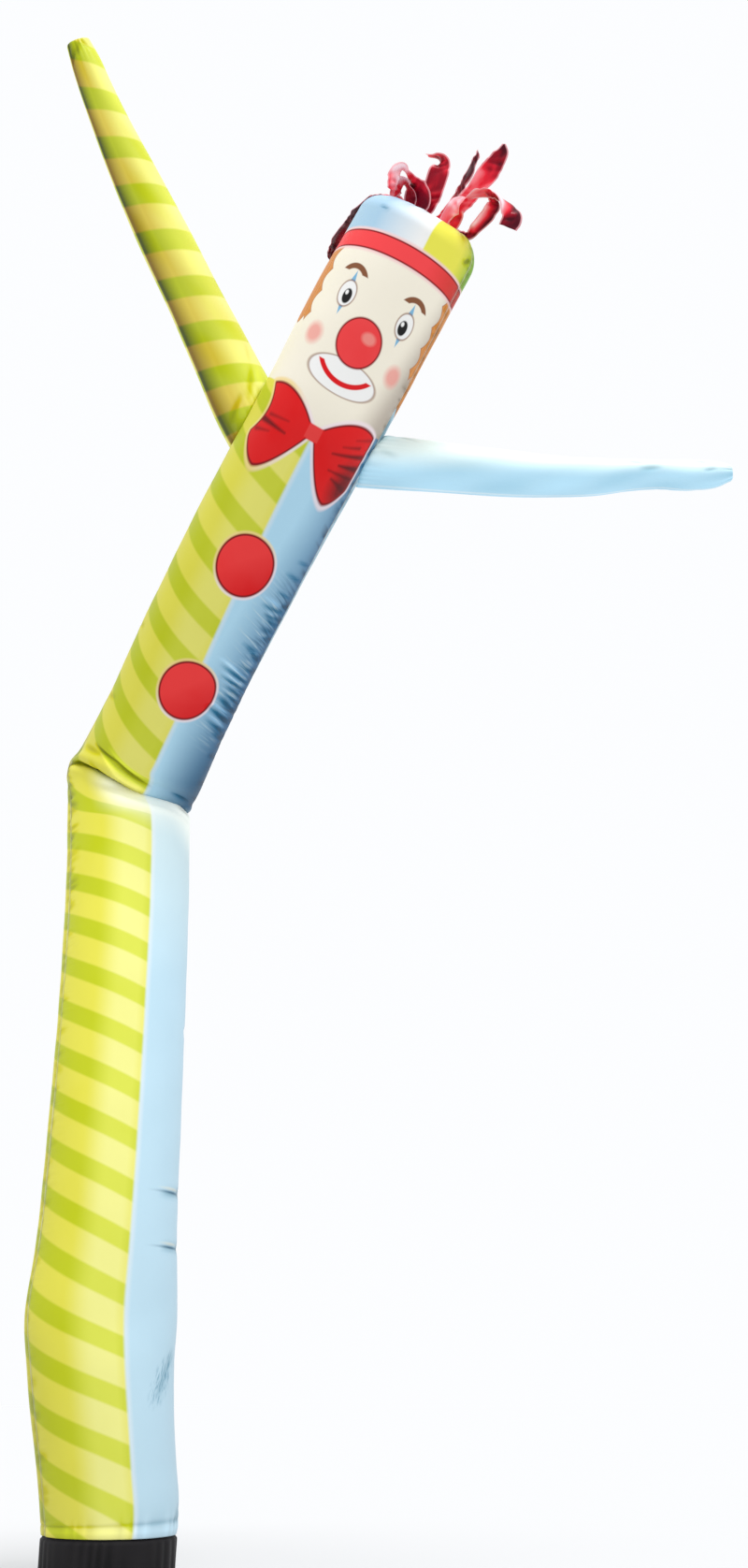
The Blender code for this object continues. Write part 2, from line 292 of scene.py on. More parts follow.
# short uneven puckers that run in from a seam; each zone is (from, to, strength)
def seamPuckers(seed, length, zones):
    dice = np.random.RandomState(seed)
    folds = []
    at = 0.01
    while at < length:
        strength = 1.0
        for low, high, share in zones:
            if low <= at <= high:
                strength = share
        reach, width, depth, tilt, gap = (dice.uniform(*span) for span in puckerSizes.values())
        reach *= 0.6 + 0.4 * strength
        folds.append((0, at * 1000, reach, tilt, width, depth * strength))
        at += gap / 1000 / (0.5 + 0.5 * strength)
    return folds


# a grid of points made into a mesh, with its print's map and its marks for the material
def gridPiece(name, points, printMap, marks, closed=False):
    rows, columns = points.shape[:2]
    bpy.ops.object.select_all(action="DESELECT")
    bpy.ops.mesh.primitive_grid_add(
        x_subdivisions=columns - 1, y_subdivisions=rows - 1, size=1, calc_uvs=True
    )
    piece = bpy.context.object
    piece.name = name
    mesh = piece.data
    mesh.name = name
    mesh.vertices.foreach_set("co", points.reshape(-1).astype("f"))
    corners = np.zeros(len(mesh.loops), dtype="i")
    mesh.loops.foreach_get("vertex_index", corners)
    mesh.uv_layers[0].name = "print"
    flat = printMap.reshape(-1, 2)[corners].reshape(-1).astype("f")
    mesh.uv_layers["print"].data.foreach_set("uv", flat)
    for title, values in marks.items():
        layer = mesh.attributes.new(name=title, type="FLOAT", domain="POINT")
        layer.data.foreach_set("value", values.reshape(-1).astype("f"))
    mesh.update()
    if closed:
        bpy.ops.object.mode_set(mode="EDIT")
        bpy.ops.mesh.select_all(action="SELECT")
        bpy.ops.mesh.remove_doubles(threshold=0.00002)
        bpy.ops.mesh.normals_make_consistent(inside=False)
        bpy.ops.object.mode_set(mode="OBJECT")
    return piece


def pickOnly(piece):
    bpy.ops.object.select_all(action="DESELECT")
    piece.select_set(True)
    bpy.context.view_layer.objects.active = piece


# a piece made as thick as its cloth
def finishCloth(piece, thickness, offset=-1.0):
    pickOnly(piece)
    made = piece.modifiers.new("Cloth", "SOLIDIFY")
    made.thickness = thickness
    made.offset = offset
    bpy.ops.object.modifier_apply(modifier=made.name)
    bpy.ops.object.shade_smooth()


# ---- materials ----

# an output of a node, with the usual sums on it
class Wire:
    def __init__(self, tree, socket):
        self.tree = tree
        self.socket = socket

    def node(self, kind, settings=None, inputs=None, out=0):
        made = self.tree.nodes.new("ShaderNode" + kind)
        for name, value in (settings or {}).items():
            setattr(made, name, value)
        for place, value in (inputs or {}).items():
            if isinstance(value, Wire):
                self.tree.links.new(value.socket, made.inputs[place])
            else:
                made.inputs[place].default_value = value
        return Wire(self.tree, made.outputs[out])

    def math(self, operation, *values):
        return self.node("Math", {"operation": operation}, dict(enumerate(values)))

    def vector(self, operation, *values, out=0):
        return self.node("VectorMath", {"operation": operation}, dict(enumerate(values)), out)

    def __neg__(self):
        return self.math("MULTIPLY", self, -1.0)

    def __abs__(self):
        return self.math("ABSOLUTE", self)

    def least(self, other):
        return self.math("MINIMUM", self, other)

    def most(self, other):
        return self.math("MAXIMUM", self, other)

    def wave(self):
        return self.math("SINE", self)

    # 0 at low and 1 at high; low may be the larger
    def ramp(self, low, high, kind="LINEAR"):
        return self.node("MapRange", {"interpolation_type": kind}, {0: self, 1: low, 2: high})

    # from one tone to another, each a wire or the name of a tone
    def blend(self, low, high, share):
        low, high = (tones[part] if isinstance(part, str) else part for part in (low, high))
        return self.node("Mix", {"data_type": "RGBA"}, {0: share, 6: low, 7: high}, 2)

    # another tone over this one
    def mix(self, other, share):
        return self.blend(self, other, share)

    def noise(self, scale=1.0, detail=2.0):
        return self.node("TexNoise", None, {"Vector": self, "Scale": scale, "Detail": detail})


# wires add, multiply and so on as numbers do
for sign, operation in {
    "add": "ADD", "sub": "SUBTRACT", "mul": "MULTIPLY", "truediv": "DIVIDE",
    "mod": "FLOORED_MODULO", "pow": "POWER",
}.items():
    setattr(Wire, f"__{sign}__", lambda a, b, kind=operation: a.math(kind, a, b))
    setattr(Wire, f"__r{sign}__", lambda a, b, kind=operation: a.math(kind, b, a))


# a tone given as 0-255 in each of red, green and blue
def tone(red, green, blue):
    parts = [part / 255 for part in (red, green, blue)]
    light = [p / 12.92 if p <= 0.04045 else ((p + 0.055) / 1.055) ** 2.4 for p in parts]
    return (*light, 1.0)


def newMaterial(name, roughness, sheen, specular=0.18):
    made = bpy.data.materials.new(name)
    made.use_nodes = True
    shader = made.node_tree.nodes["Principled BSDF"]
    fill(shader, {
        "Roughness": roughness, "Sheen Weight": sheen, "Sheen Roughness": 0.4,
        "Specular IOR Level": specular,
    })
    return made, Wire(made.node_tree, None), shader


def connect(wire, shader, name):
    wire.tree.links.new(wire.socket, shader.inputs[name])


def emboss(height, shader):
    relief = height.node("Bump", None, {"Height": height, "Distance": 1.0, "Strength": 0.8})
    connect(relief, shader, "Normal")


# the piece's print map: the place, how far across it is and how far along
def flatMap(wire):
    spot = wire.node("UVMap", {"uv_map": "print"})
    parts = wire.node("SeparateXYZ", None, {0: spot})
    return spot, parts, Wire(wire.tree, parts.socket.node.outputs[1])


def flatSpot(u, v):
    return u.node("CombineXYZ", None, {0: u, 1: v})


def mark(wire, name):
    return wire.node("Attribute", {"attribute_name": name}, None, 2)


# inside a shape, from the distance to its edge; soft is the printed edge's blur
def within(distance, soft=0.0012):
    return distance.ramp(soft, -soft)


def woven(u, v, pitch):
    return (u * (math.tau / pitch)).wave() * (v * (math.tau / pitch)).wave()


# a row of stitches, from how far it is to the row and how far along it
def stitches(away, along):
    return within(abs(away) - 0.0007, 0.0005) * ((along / 0.0042) % 1.0).ramp(0.32, 0.38)


tones = {name: tone(*parts) for name, parts in {
    # stripes
    "yellow": (238, 232, 84), "paleYellow": (250, 248, 150),
    "lime": (202, 212, 30), "paleLime": (226, 233, 84),
    "ochre": (226, 204, 84), "dullLime": (190, 202, 48),
    "armShadowBrown": (120, 88, 10), "armShadowLime": (30, 46, 0),
    "softYellow": (246, 242, 124), "softLime": (212, 222, 70),
    # blues and whites
    "blue": (200, 232, 248), "skyBlue": (188, 232, 255), "shadowBlue": (40, 112, 162),
    "creaseShadowBlue": (24, 84, 118), "seamShadowNavy": (8, 44, 74), "clusterShadowBlue": (104, 158, 186),
    "armBlue": (186, 229, 250), "ice": (238, 255, 252), "glare": (252, 255, 244),
    "white": (254, 254, 252), "thread": (236, 236, 226), "dust": (150, 142, 128),
    # hat and band
    "hatBlue": (176, 212, 236), "hatLime": (244, 240, 86), "hatShadowGreen": (128, 182, 30),
    "bandRed": (255, 74, 78), "bandShadow": (200, 38, 6), "bandEdge": (255, 216, 214),
    # face and hair
    "cream": (255, 248, 230), "shadeCream": (196, 184, 170),
    "hair": (226, 148, 70), "darkHair": (176, 100, 44), "brow": (140, 88, 58),
    "pupil": (24, 24, 24), "cheek": (250, 158, 148), "eyePaint": (132, 190, 226),
    # bow, buttons and nose
    "red": (230, 22, 28), "brightRed": (248, 72, 74), "darkRed": (140, 6, 16),
    "bowRed": (236, 24, 26), "knotRed": (244, 66, 64), "buttonRed": (252, 62, 62),
    "maroon": (92, 0, 10), "haloGold": (255, 226, 152), "haloPink": (255, 238, 244),
    # sleeve
    "black": (10, 9, 11), "greyBlack": (58, 54, 57), "sleeveDust": (120, 114, 104),
    "sleeveThread": (60, 58, 60),
    # ribbons
    "ribbonMaroon": (78, 4, 24), "ribbonDeep": (156, 10, 34),
    "ribbonRed": (234, 38, 58), "ribbonPink": (250, 140, 150),
    "ribbonPale": (255, 224, 230), "ribbonEdge": (248, 176, 184),
}.items()}
# places on the print are (across from its middle line, along from its hem)
printed = {
    "stripePeriod": 0.110, "stripeStart": 1.628, "limeShare": 0.42,
    # painted shade: the upper tube's blue starts to darken between these two
    "foot": 1.69, "upper": 1.74,    # the blue turns deeper between these
    "cluster": (0.301, 0.096),      # of short slanting creases, read along a tilted line
    "nicks": (((0.104, 0.588), 0.050), ((0.102, 0.708), 0.060)),    # place and reach
    "backMiddle": -0.48,    # the back's middle line
    "weave": 0.0018, "weaveDepth": 0.00004,
}


# 1 on the lime stripes, from how many stripes along a place is
def limeOn(row, stripe):
    near = abs((row + 0.5) % 1.0 - 0.5) * stripe["stripePeriod"]
    return within(near - stripe["stripePeriod"] * stripe["limeShare"] / 2, 0.003)


# the body's slanting stripes, paler towards the middle line
def stripes(u, v):
    slope = 0.55 - 0.10 * v
    rise = v.ramp(1.9, 2.3) * 0.02 + slope * (u + 0.1)
    lime = limeOn((v + rise - printed["stripeStart"]) / printed["stripePeriod"], printed)
    plain = u.blend("yellow", "lime", lime)
    light = u.blend("paleYellow", "paleLime", lime)
    paler = u.ramp(-0.128, -0.062, "SMOOTHSTEP") * u.ramp(0.02, -0.02)
    return plain.mix(light, paler * (1.0 - v.ramp(1.70, 1.76) * 0.55))


# the plain half, with painted shade where the upper tube's right turns away from the light, and
# creases drawn in as painted shade
def blueHalf(spot, u, v):
    upper = v.ramp(printed["foot"], printed["upper"])
    blue = u.blend("blue", "ice", v.ramp(1.2, 1.6) * 0.6)
    blue = blue.mix("skyBlue", upper)
    # painted shade, darker towards the upper tube's right and near the bend
    blue = blue.mix("shadowBlue", upper * (u - v.ramp(2.15, 2.55) * 0.05).ramp(0.01, 0.16))
    blue = blue.mix("creaseShadowBlue", upper * v.ramp(2.06, 1.84) * u.ramp(0.02, 0.16) * 0.95)
    # fine creases and dark nicks from the right-hand seam, painted as shade, with pale painted
    # highlights on the ridges between
    streak = flatSpot(u * 12.0, (v + u * 0.36) * 150.0).noise()
    drawn = v.ramp(1.94, 2.04) * v.ramp(2.44, 2.33)
    blue = blue.mix("creaseShadowBlue", streak.ramp(0.50, 0.64) * drawn * u.ramp(0.07, 0.14) * 0.75)
    pale = streak.ramp(0.46, 0.34) * drawn * u.ramp(0.04, 0.08) * u.ramp(0.16, 0.12)
    blue = blue.mix("ice", pale * 0.32)
    nick = u.node("TexNoise", {"noise_dimensions": "1D"}, {
        "W": v * 38.0 + u * 12.0, "Scale": 1.0, "Detail": 1.0
    })
    dark = nick.ramp(0.48, 0.66) * 0.6 + 0.2
    blue = blue.mix("seamShadowNavy", upper * u.ramp(0.14, 0.185) * dark)
    # a cluster of short slanting creases near the foot, painted as darker streaks of shade
    run, off = printed["cluster"]
    away = flatSpot(u * 0.60 + v * 0.80 - run, v * 0.60 - u * 0.80 - off)
    patch = oval(away, (0.0, 0.0), (0.086, 0.036)).ramp(0.0, -0.016)
    streak = flatSpot((u * 0.41 + v * 0.91) * 45.0, (v * 0.41 - u * 0.91) * 230.0).noise()
    blue = blue.mix("clusterShadowBlue", streak.ramp(0.48, 0.62) * patch * 0.55)
    # sharp nicks above it, each painted as a dark line of shade with a painted highlight beside
    # it
    for (across, along), reach in printed["nicks"]:
        nick = within(oval(spot, (across, along), (reach, 0.0024)), 0.002)
        blue = blue.mix("creaseShadowBlue", nick * u.ramp(0.03, 0.13) * 0.9)
        glint = oval(spot, (across + 0.016, along + 0.008), (reach * 0.6, 0.0030))
        blue = blue.mix("glare", within(glint, 0.002) * 0.7)
    return blue


# distance to a disc or oval at a centre
def oval(spot, centre, size):
    shift = [-c / s for c, s in zip(centre, size)]
    scaled = spot.vector("MULTIPLY_ADD", spot, (1 / size[0], 1 / size[1], 0), (*shift, 0))
    return (scaled.vector("LENGTH", scaled, out=1) - 1.0) * min(size)


# distance to a stroke between two points, which thins towards its end
def stroke(spot, start, end, width):
    run = (end[0] - start[0], end[1] - start[1], 0)
    length = run[0] ** 2 + run[1] ** 2
    away = spot.vector("SUBTRACT", spot, (*start, 0))
    along = away.vector("DOT_PRODUCT", away, run, out=1) / length
    along = along.most(0.0).least(1.0)
    foot = away.node("VectorMath", {"operation": "SCALE"}, {0: run, 3: along})
    off = away.vector("DISTANCE", away, foot, out=1)
    return off - (1.0 - along * 0.8) * width


# a shape with an outline round it and a pale edge beyond
def outlined(under, distance, fill, outline, edge=None, line=0.0045, halo=0.010):
    if edge is not None:
        under = under.mix(edge, distance.ramp(line + halo, line + halo * 0.45) * 0.85)
    under = under.mix(outline, within(distance - line, 0.002))
    return under.mix(fill, within(distance))


# hair inside an edge, with fine strands that start a little way in
def hairOver(under, edge, inside, strand):
    under = outlined(under, edge, "hair", "darkHair", line=0.003)
    shade = (strand % 6.283).wave().ramp(0.55, 0.95)
    return under.mix("darkHair", shade * inside * 0.55)


hat = {
    "low": 3.135,           # the hat's lower edge on the middle line
    "band": 3.1316,         # the band's middle, and half its width to each printed line
    "bandHalf": 0.0170, "lineHalf": 0.0205, "edgeHalf": 0.0255,
    "split": 0.034,         # from blue to lime
}


def bandHeight(u):
    return 0.05 * u - 0.35 * u * u


def hatAndBand(under, u, v, level, blueShare):
    # painted shade: the lime side turns green towards its right edge; the blue side takes a
    # painted highlight in white towards the middle
    limeSide = u.blend("hatLime", "hatShadowGreen", u.ramp(0.13, 0.21))
    blueSide = u.blend("hatBlue", "white", u.ramp(-0.10, 0.02))
    band = abs(v - level - hat["band"])
    under = under.mix(limeSide.mix(blueSide, blueShare), within(level + hat["low"] - v))
    under = under.mix("bandEdge", within(band - hat["edgeHalf"], 0.003))
    under = under.mix("darkRed", within(band - hat["lineHalf"]))
    # painted shade: the band darkens towards its right end
    red = u.blend("bandRed", "bandShadow", u.ramp(0.06, 0.20))
    return under.mix(red, within(band - hat["bandHalf"]))


# each oval is (place, half sizes); what is at a side is on both sides
face = {
    "neck": 2.70, "neckTop": 2.775,
    "hairSide": 0.158, "hairLow": 2.93,
    "cheek": ((0.112, 2.902), (0.026, 0.026)),
    "mouth": ((0.0, 2.846), (0.086, 0.036)),
    "smile": ((0.0, 2.915), (0.082, 0.082)), "smileHalf": 0.0055, "smileTop": 2.862,
    "nose": ((0.0, 2.925), (0.050, 0.050)),
    "noseShine": ((0.016, 2.942), (0.017, 0.013)),
    "diamond": ((0.078, 3.006), (0.013, 0.050)),
    "eye": ((0.078, 3.004), (0.021, 0.027)),
    "pupil": ((0.075, 2.999), (0.0115, 0.0165)),
    "glints": ((0.071, 3.006), (-0.079, 3.006)), "glint": (0.004, 0.005),
    "brow": ((0.082, 3.030), (0.034, 0.034)), "browHalf": 0.0062, "browLow": 3.050,
}


# a plain clown's face: scalloped hair, cheeks, mouth, nose, eyes and brows
def faceOver(colour, spot, u, v):
    side = abs(u)
    folded = flatSpot(side, v)
    # the ground comes down to a notched neckline
    neck = (side * 0.6 + face["neck"]).least(face["neckTop"])
    # painted shade towards the right of the face
    skin = u.blend("cream", "shadeCream", (u - v * 0.2).ramp(-0.50, -0.40, "SMOOTHSTEP"))
    colour = colour.mix(skin, within(neck - v, 0.002))

    curls = abs((v * 62.0).wave()) * 0.016 + face["hairSide"]
    low = abs((u * 70.0).wave()) * -0.018 + face["hairLow"]
    inside = within(curls + 0.005 - side) * within(low + 0.006 - v)
    strand = side * 420.0 + (v * 48.0).wave() * 1.6
    colour = hairOver(colour, (curls - side).most(low - v), inside, strand)

    colour = colour.mix("cheek", oval(folded, *face["cheek"]).ramp(0.004, -0.012) * 0.8)
    colour = outlined(colour, oval(spot, *face["mouth"]), "white", "brow", line=0.0018)
    smile = abs(oval(spot, *face["smile"])) - face["smileHalf"]
    colour = colour.mix("red", within(smile.most(v - face["smileTop"])))
    colour = outlined(colour, oval(spot, *face["nose"]), "brightRed", "darkRed", line=0.004)
    colour = colour.mix("cheek", oval(spot, *face["noseShine"]).ramp(0.003, -0.004) * 0.8)
    (across, along), (wide, high) = face["diamond"]
    diamond = abs(side - across) / wide + abs(v - along) / high - 1.0
    colour = colour.mix("eyePaint", within(diamond, 0.06))
    colour = outlined(colour, oval(folded, *face["eye"]), "white", "brow", line=0.0022)
    colour = colour.mix("pupil", within(oval(folded, *face["pupil"])))
    for place in face["glints"]:
        colour = colour.mix("white", within(oval(spot, place, face["glint"])))
    brow = abs(oval(folded, *face["brow"])) - face["browHalf"]
    return colour.mix("brow", within(brow.most(face["browLow"] - v)))


bowTie = {
    "height": 2.705,
    "half": 0.154,          # from its middle to either side
    "knot": (0.017, 0.015), # half sizes, and how far above the middle
    "knotRise": 0.010,
    # corner: where the right lobe darkens with painted shade over the print's folds
    "corner": ((0.140, 2.640), (0.050, 0.064)),     # where it darkens
    "creases": (            # start, end, width, depth of tone
        ((-0.140, 2.692), (-0.060, 2.685), 0.0070, 0.85),
        ((-0.118, 2.706), (-0.064, 2.711), 0.0035, 0.55),
        ((-0.140, 2.664), (-0.100, 2.672), 0.0045, 0.55),
        ((0.126, 2.737), (0.080, 2.722), 0.0035, 0.60),
        ((0.150, 2.722), (0.062, 2.699), 0.0055, 0.85),
        ((0.158, 2.694), (0.092, 2.683), 0.0075, 0.90),
        ((0.150, 2.668), (0.072, 2.664), 0.0045, 0.75),
        ((0.140, 2.640), (0.090, 2.650), 0.0065, 0.80),
        ((0.150, 2.764), (0.106, 2.748), 0.0035, 0.45),
    ),
}


def bowOver(colour, spot, u, v):
    x = abs(u)
    y = v - bowTie["height"]
    top = y - 0.071 + (x - 0.115) ** 2.0 * 5.0
    low = abs(x - 0.100) ** 1.6 * 5.07 - 0.109 - y
    bow = top.math("SMOOTH_MAX", top * 0.80, low * 0.60, 0.004)
    pinch = (1.0 - ((y - 0.010) / 0.06) ** 2.0).most(0.0) * u.ramp(0.0, -0.03) * 0.024
    bow = bow.math("SMOOTH_MAX", bow, x + pinch - bowTie["half"], 0.007)
    halo = u.blend("haloGold", "haloPink", u.ramp(-0.10, -0.03))
    colour = outlined(colour, bow, "bowRed", "darkRed", halo)
    inside = within(bow)
    for start, end, width, depth in bowTie["creases"]:
        line = stroke(spot, start, end, width).ramp(0.004, -0.003)
        colour = colour.mix("maroon", line * inside * depth)
    # painted shade in the right lobe's lower corner
    corner = oval(spot, *bowTie["corner"]).ramp(0.010, -0.034)
    colour = colour.mix("maroon", corner * inside * 0.85)
    wide, high = bowTie["knot"]
    knot = (x - wide).most(abs(y - bowTie["knotRise"]) - high)
    return outlined(colour, knot, "knotRed", "bowRed", line=0.002)


buttons = {"places": ((-0.005, 2.394), (-0.005, 2.081)), "radius": 0.066}


# the clown's print on the front of the tube
def frontPrint(u, v):
    spot = flatSpot(u, v)
    colour = stripes(u, v).mix(blueHalf(spot, u, v), within(-u, 0.003))
    # a painted highlight where the cloth turns up under the crease
    colour = colour.mix("glare", mark(u, "rim") * 0.8)
    # a pale line where the two halves meet
    colour = colour.mix("white", within(abs(u - 0.004) - 0.003, 0.006) * 0.5)
    colour = faceOver(colour, spot, u, v)
    colour = bowOver(colour, spot, u, v)
    for place in buttons["places"]:
        slant = u - v + (place[1] - place[0])
        # painted shade: each button darkens towards its lower right
        fill = u.blend("buttonRed", "red", slant.ramp(-0.02, 0.10))
        halo = u.blend("haloGold", "haloPink", slant.ramp(-0.06, 0.04))
        disc = oval(spot, place, (buttons["radius"], buttons["radius"]))
        colour = outlined(colour, disc, fill, "darkRed", halo, 0.005, 0.008)
    return hatAndBand(colour, u, v, bandHeight(u), within(u - hat["split"], 0.002))


# the back carries the stripes, the plain blue, the hair and the hat on round
def backPrint(u, v):
    middle = printed["backMiddle"]
    colour = stripes(u, v).mix("blue", within(u - middle))
    low = abs((u * 66.0).wave()) * -0.022 + 2.86
    strand = u * 420.0 + (v * 40.0).wave() * 1.8
    colour = hairOver(colour, low - v, within(low + 0.008 - v), strand)
    level = (u + 0.285) * -0.081 - 0.0427
    return hatAndBand(colour, u - middle * 2, v, level, within(middle - u, 0.002))


shading = {
    "roughness": 0.46,
    "sheen": 0.02,
    "fold": 170.0,          # how much a fold's height lights or darkens the print
    "darkest": 0.50,        # of the cloth's depth of tone
    "brightest": 1.42,
    "seamRow": 0.0085,      # a seam's stitches, from its edge
    "dust": 0.09,           # on the lowest part of the tube
    "pucker": 0.0022,
}


# depth is the cloth's plain depth of tone, and shade how much painted shade darkens it towards
# the foot, and half as much over the upper tube
def paintCloth(name, colourOf, depth=0.86, shade=0.0, dusty=False):
    made, wire, shader = newMaterial(name, shading["roughness"], shading["sheen"])
    spot, u, v = flatMap(wire)
    noise = spot.noise(5.0, 3.0)
    colour = colourOf(u, v)
    seam = mark(wire, "seam")
    stitch = stitches(seam - shading["seamRow"], v) * seam.ramp(0.0, 0.004)
    colour = colour.mix("thread", stitch * 0.55 + seam.ramp(0.0040, 0.0022) * 0.5)
    # the painted shade in puckers beside the lower tube's seams stays paler than in the deep
    # folds
    darkest = (seam.ramp(0.10, 0.03) * v.ramp(1.66, 1.60) * 0.20 + shading["darkest"]) * depth
    # painted light and shade from each fold's height
    light = mark(wire, "fold") * shading["fold"] + noise * 0.08 + (depth - 0.04)
    light = light.most(darkest).least(depth * shading["brightest"])
    # the rim's painted highlight also lifts the tone
    light = light + mark(wire, "rim") * 0.20
    # painted shade towards the foot, and half as much over the upper tube
    upper = v.ramp(1.70, 1.76) * v.ramp(2.8, 2.7)
    level = 1.0 - v.ramp(1.4, 0.1) * shade - upper * (shade * 0.5)
    # painted shade: folds are darker and fuller in tone
    full = (depth - light).most(0.0) * 1.2 + 1.0
    colour = colour.node("HueSaturation", None, {
        "Saturation": full, "Value": light * level, "Color": colour,
    })
    if dusty:
        dust = v.ramp(0.16, 0.0, "SMOOTHSTEP") * noise.ramp(0.35, 0.75)
        colour = colour.mix("dust", dust * shading["dust"])
    connect(colour, shader, "Base Color")
    connect(noise * 0.12 + (shading["roughness"] - 0.06), shader, "Roughness")
    pucker = spot.vector("MULTIPLY", spot, (9.0, 75.0, 1.0)).noise(1.0, 1.5) * shading["pucker"]
    height = pucker * seam.ramp(0.085, 0.004, "SMOOTHSTEP")
    height = height + woven(u, v, printed["weave"]) * printed["weaveDepth"]
    emboss(height + stitch * 0.0003, shader)
    return made


armPrint = {
    "stripePeriod": 0.120, "stripeStart": 0.918, "slope": 0.39, "limeShare": 0.45,
    "lift": 3.0,            # stripes run level again towards the arm's right
    "seamLine": 0.110,      # a pale line low on the level arm
}


# painted light and shade across the arm: from a dark strip of painted shade on its left, over
# ochre and yellow, to a pale strip of painted highlight on its right
def raisedPrint(u, v):
    rise = u * armPrint["slope"] - (u - 0.02).most(0.0) ** 2.0 * armPrint["lift"]
    lime = limeOn((v + rise - armPrint["stripeStart"]) / armPrint["stripePeriod"], armPrint)
    colour = u.blend("ochre", "dullLime", lime)
    middle = u.blend("softYellow", "softLime", lime)
    colour = colour.mix(middle, u.ramp(-0.025, 0.012).most(u.ramp(-0.080, -0.088)))
    dark = u.blend("armShadowBrown", "armShadowLime", lime)
    colour = colour.mix(dark, u.ramp(-0.032, -0.072) * u.ramp(-0.088, -0.080) * 0.9)
    light = u.blend("paleYellow", "paleLime", lime)
    return colour.mix(light, u.ramp(0.012, 0.050) * 0.9)


def levelPrint(u, v):
    start = v.ramp(0.50, 0.15) * 0.025 - 0.022      # the pale top is wider near the tube
    # a painted highlight: the arm's top is paler than its underside
    upper = u.blend("ice", "armBlue", u.ramp(start, start + 0.068, "SMOOTHSTEP"))
    return upper.mix("white", within(abs(u - armPrint["seamLine"]) - 0.003, 0.004) * 0.5)


frontPaint = paintCloth("printed front", frontPrint, shade=0.23, dusty=True)
backPaint = paintCloth("printed back", backPrint, shade=0.23, dusty=True)
raisedPaint = paintCloth("striped arm", raisedPrint, depth=0.90)
levelPaint = paintCloth("blue arm", levelPrint, depth=0.96)
print("the printed cloths are mixed")


# black cloth, with painted highlights in grey along its pleats' ridges, and dust at its foot
def paintSleeve():
    made, wire, shader = newMaterial("black sleeve", 0.75, 0.04)
    spot, u, v = flatMap(wire)
    noise = spot.noise(14.0, 4.0)
    pleatHighlight = (mark(wire, "fold") * 160.0 + 0.42).most(0.0).least(1.0) * (noise * 0.6 + 0.5)
    colour = wire.blend("black", "greyBlack", pleatHighlight * 0.45)
    dust = v.ramp(0.03, 0.0, "SMOOTHSTEP") * noise.ramp(0.4, 0.7) * 0.3
    colour = colour.mix("sleeveDust", dust)
    stitch = stitches(v - 0.014, u)
    colour = colour.mix("sleeveThread", stitch * 0.6)
    connect(colour, shader, "Base Color")
    emboss(woven(u, v, 0.0022) * 0.00008 + stitch * 0.0003, shader)
    return made


# crumpled red satin ribbon: pink where it catches the light, maroon in its folds
def paintRibbon():
    made, wire, shader = newMaterial("red ribbon", 0.3, 0.02, 0.12)
    spot, _, v = flatMap(wire)
    noise = spot.vector("MULTIPLY", spot, (60.0, 18.0, 1.0)).noise(1.0, 2.5)
    light = mark(wire, "bright") + mark(wire, "fold") * 90.0 + (noise - 0.5) * 0.7
    colour = wire.blend("ribbonMaroon", "ribbonDeep", light.ramp(0.0, 0.5))
    colour = colour.mix("ribbonRed", light.ramp(0.5, 1.0))
    colour = colour.mix("ribbonPink", light.ramp(1.0, 1.5))
    colour = colour.mix("ribbonPale", light.ramp(1.5, 2.0))
    # a painted highlight along the ribbon's edges
    colour = colour.mix("ribbonEdge", mark(wire, "seam").ramp(0.0046, 0.0018) * 0.75)
    connect(colour, shader, "Base Color")
    connect(noise * 0.2 + 0.2, shader, "Roughness")
    emboss((v * (math.tau / 0.0012)).wave() * 0.00002 + noise * 0.0008, shader)
    return made


sleevePaint = paintSleeve()
ribbonPaint = paintRibbon()

# ---- the printed tube ----

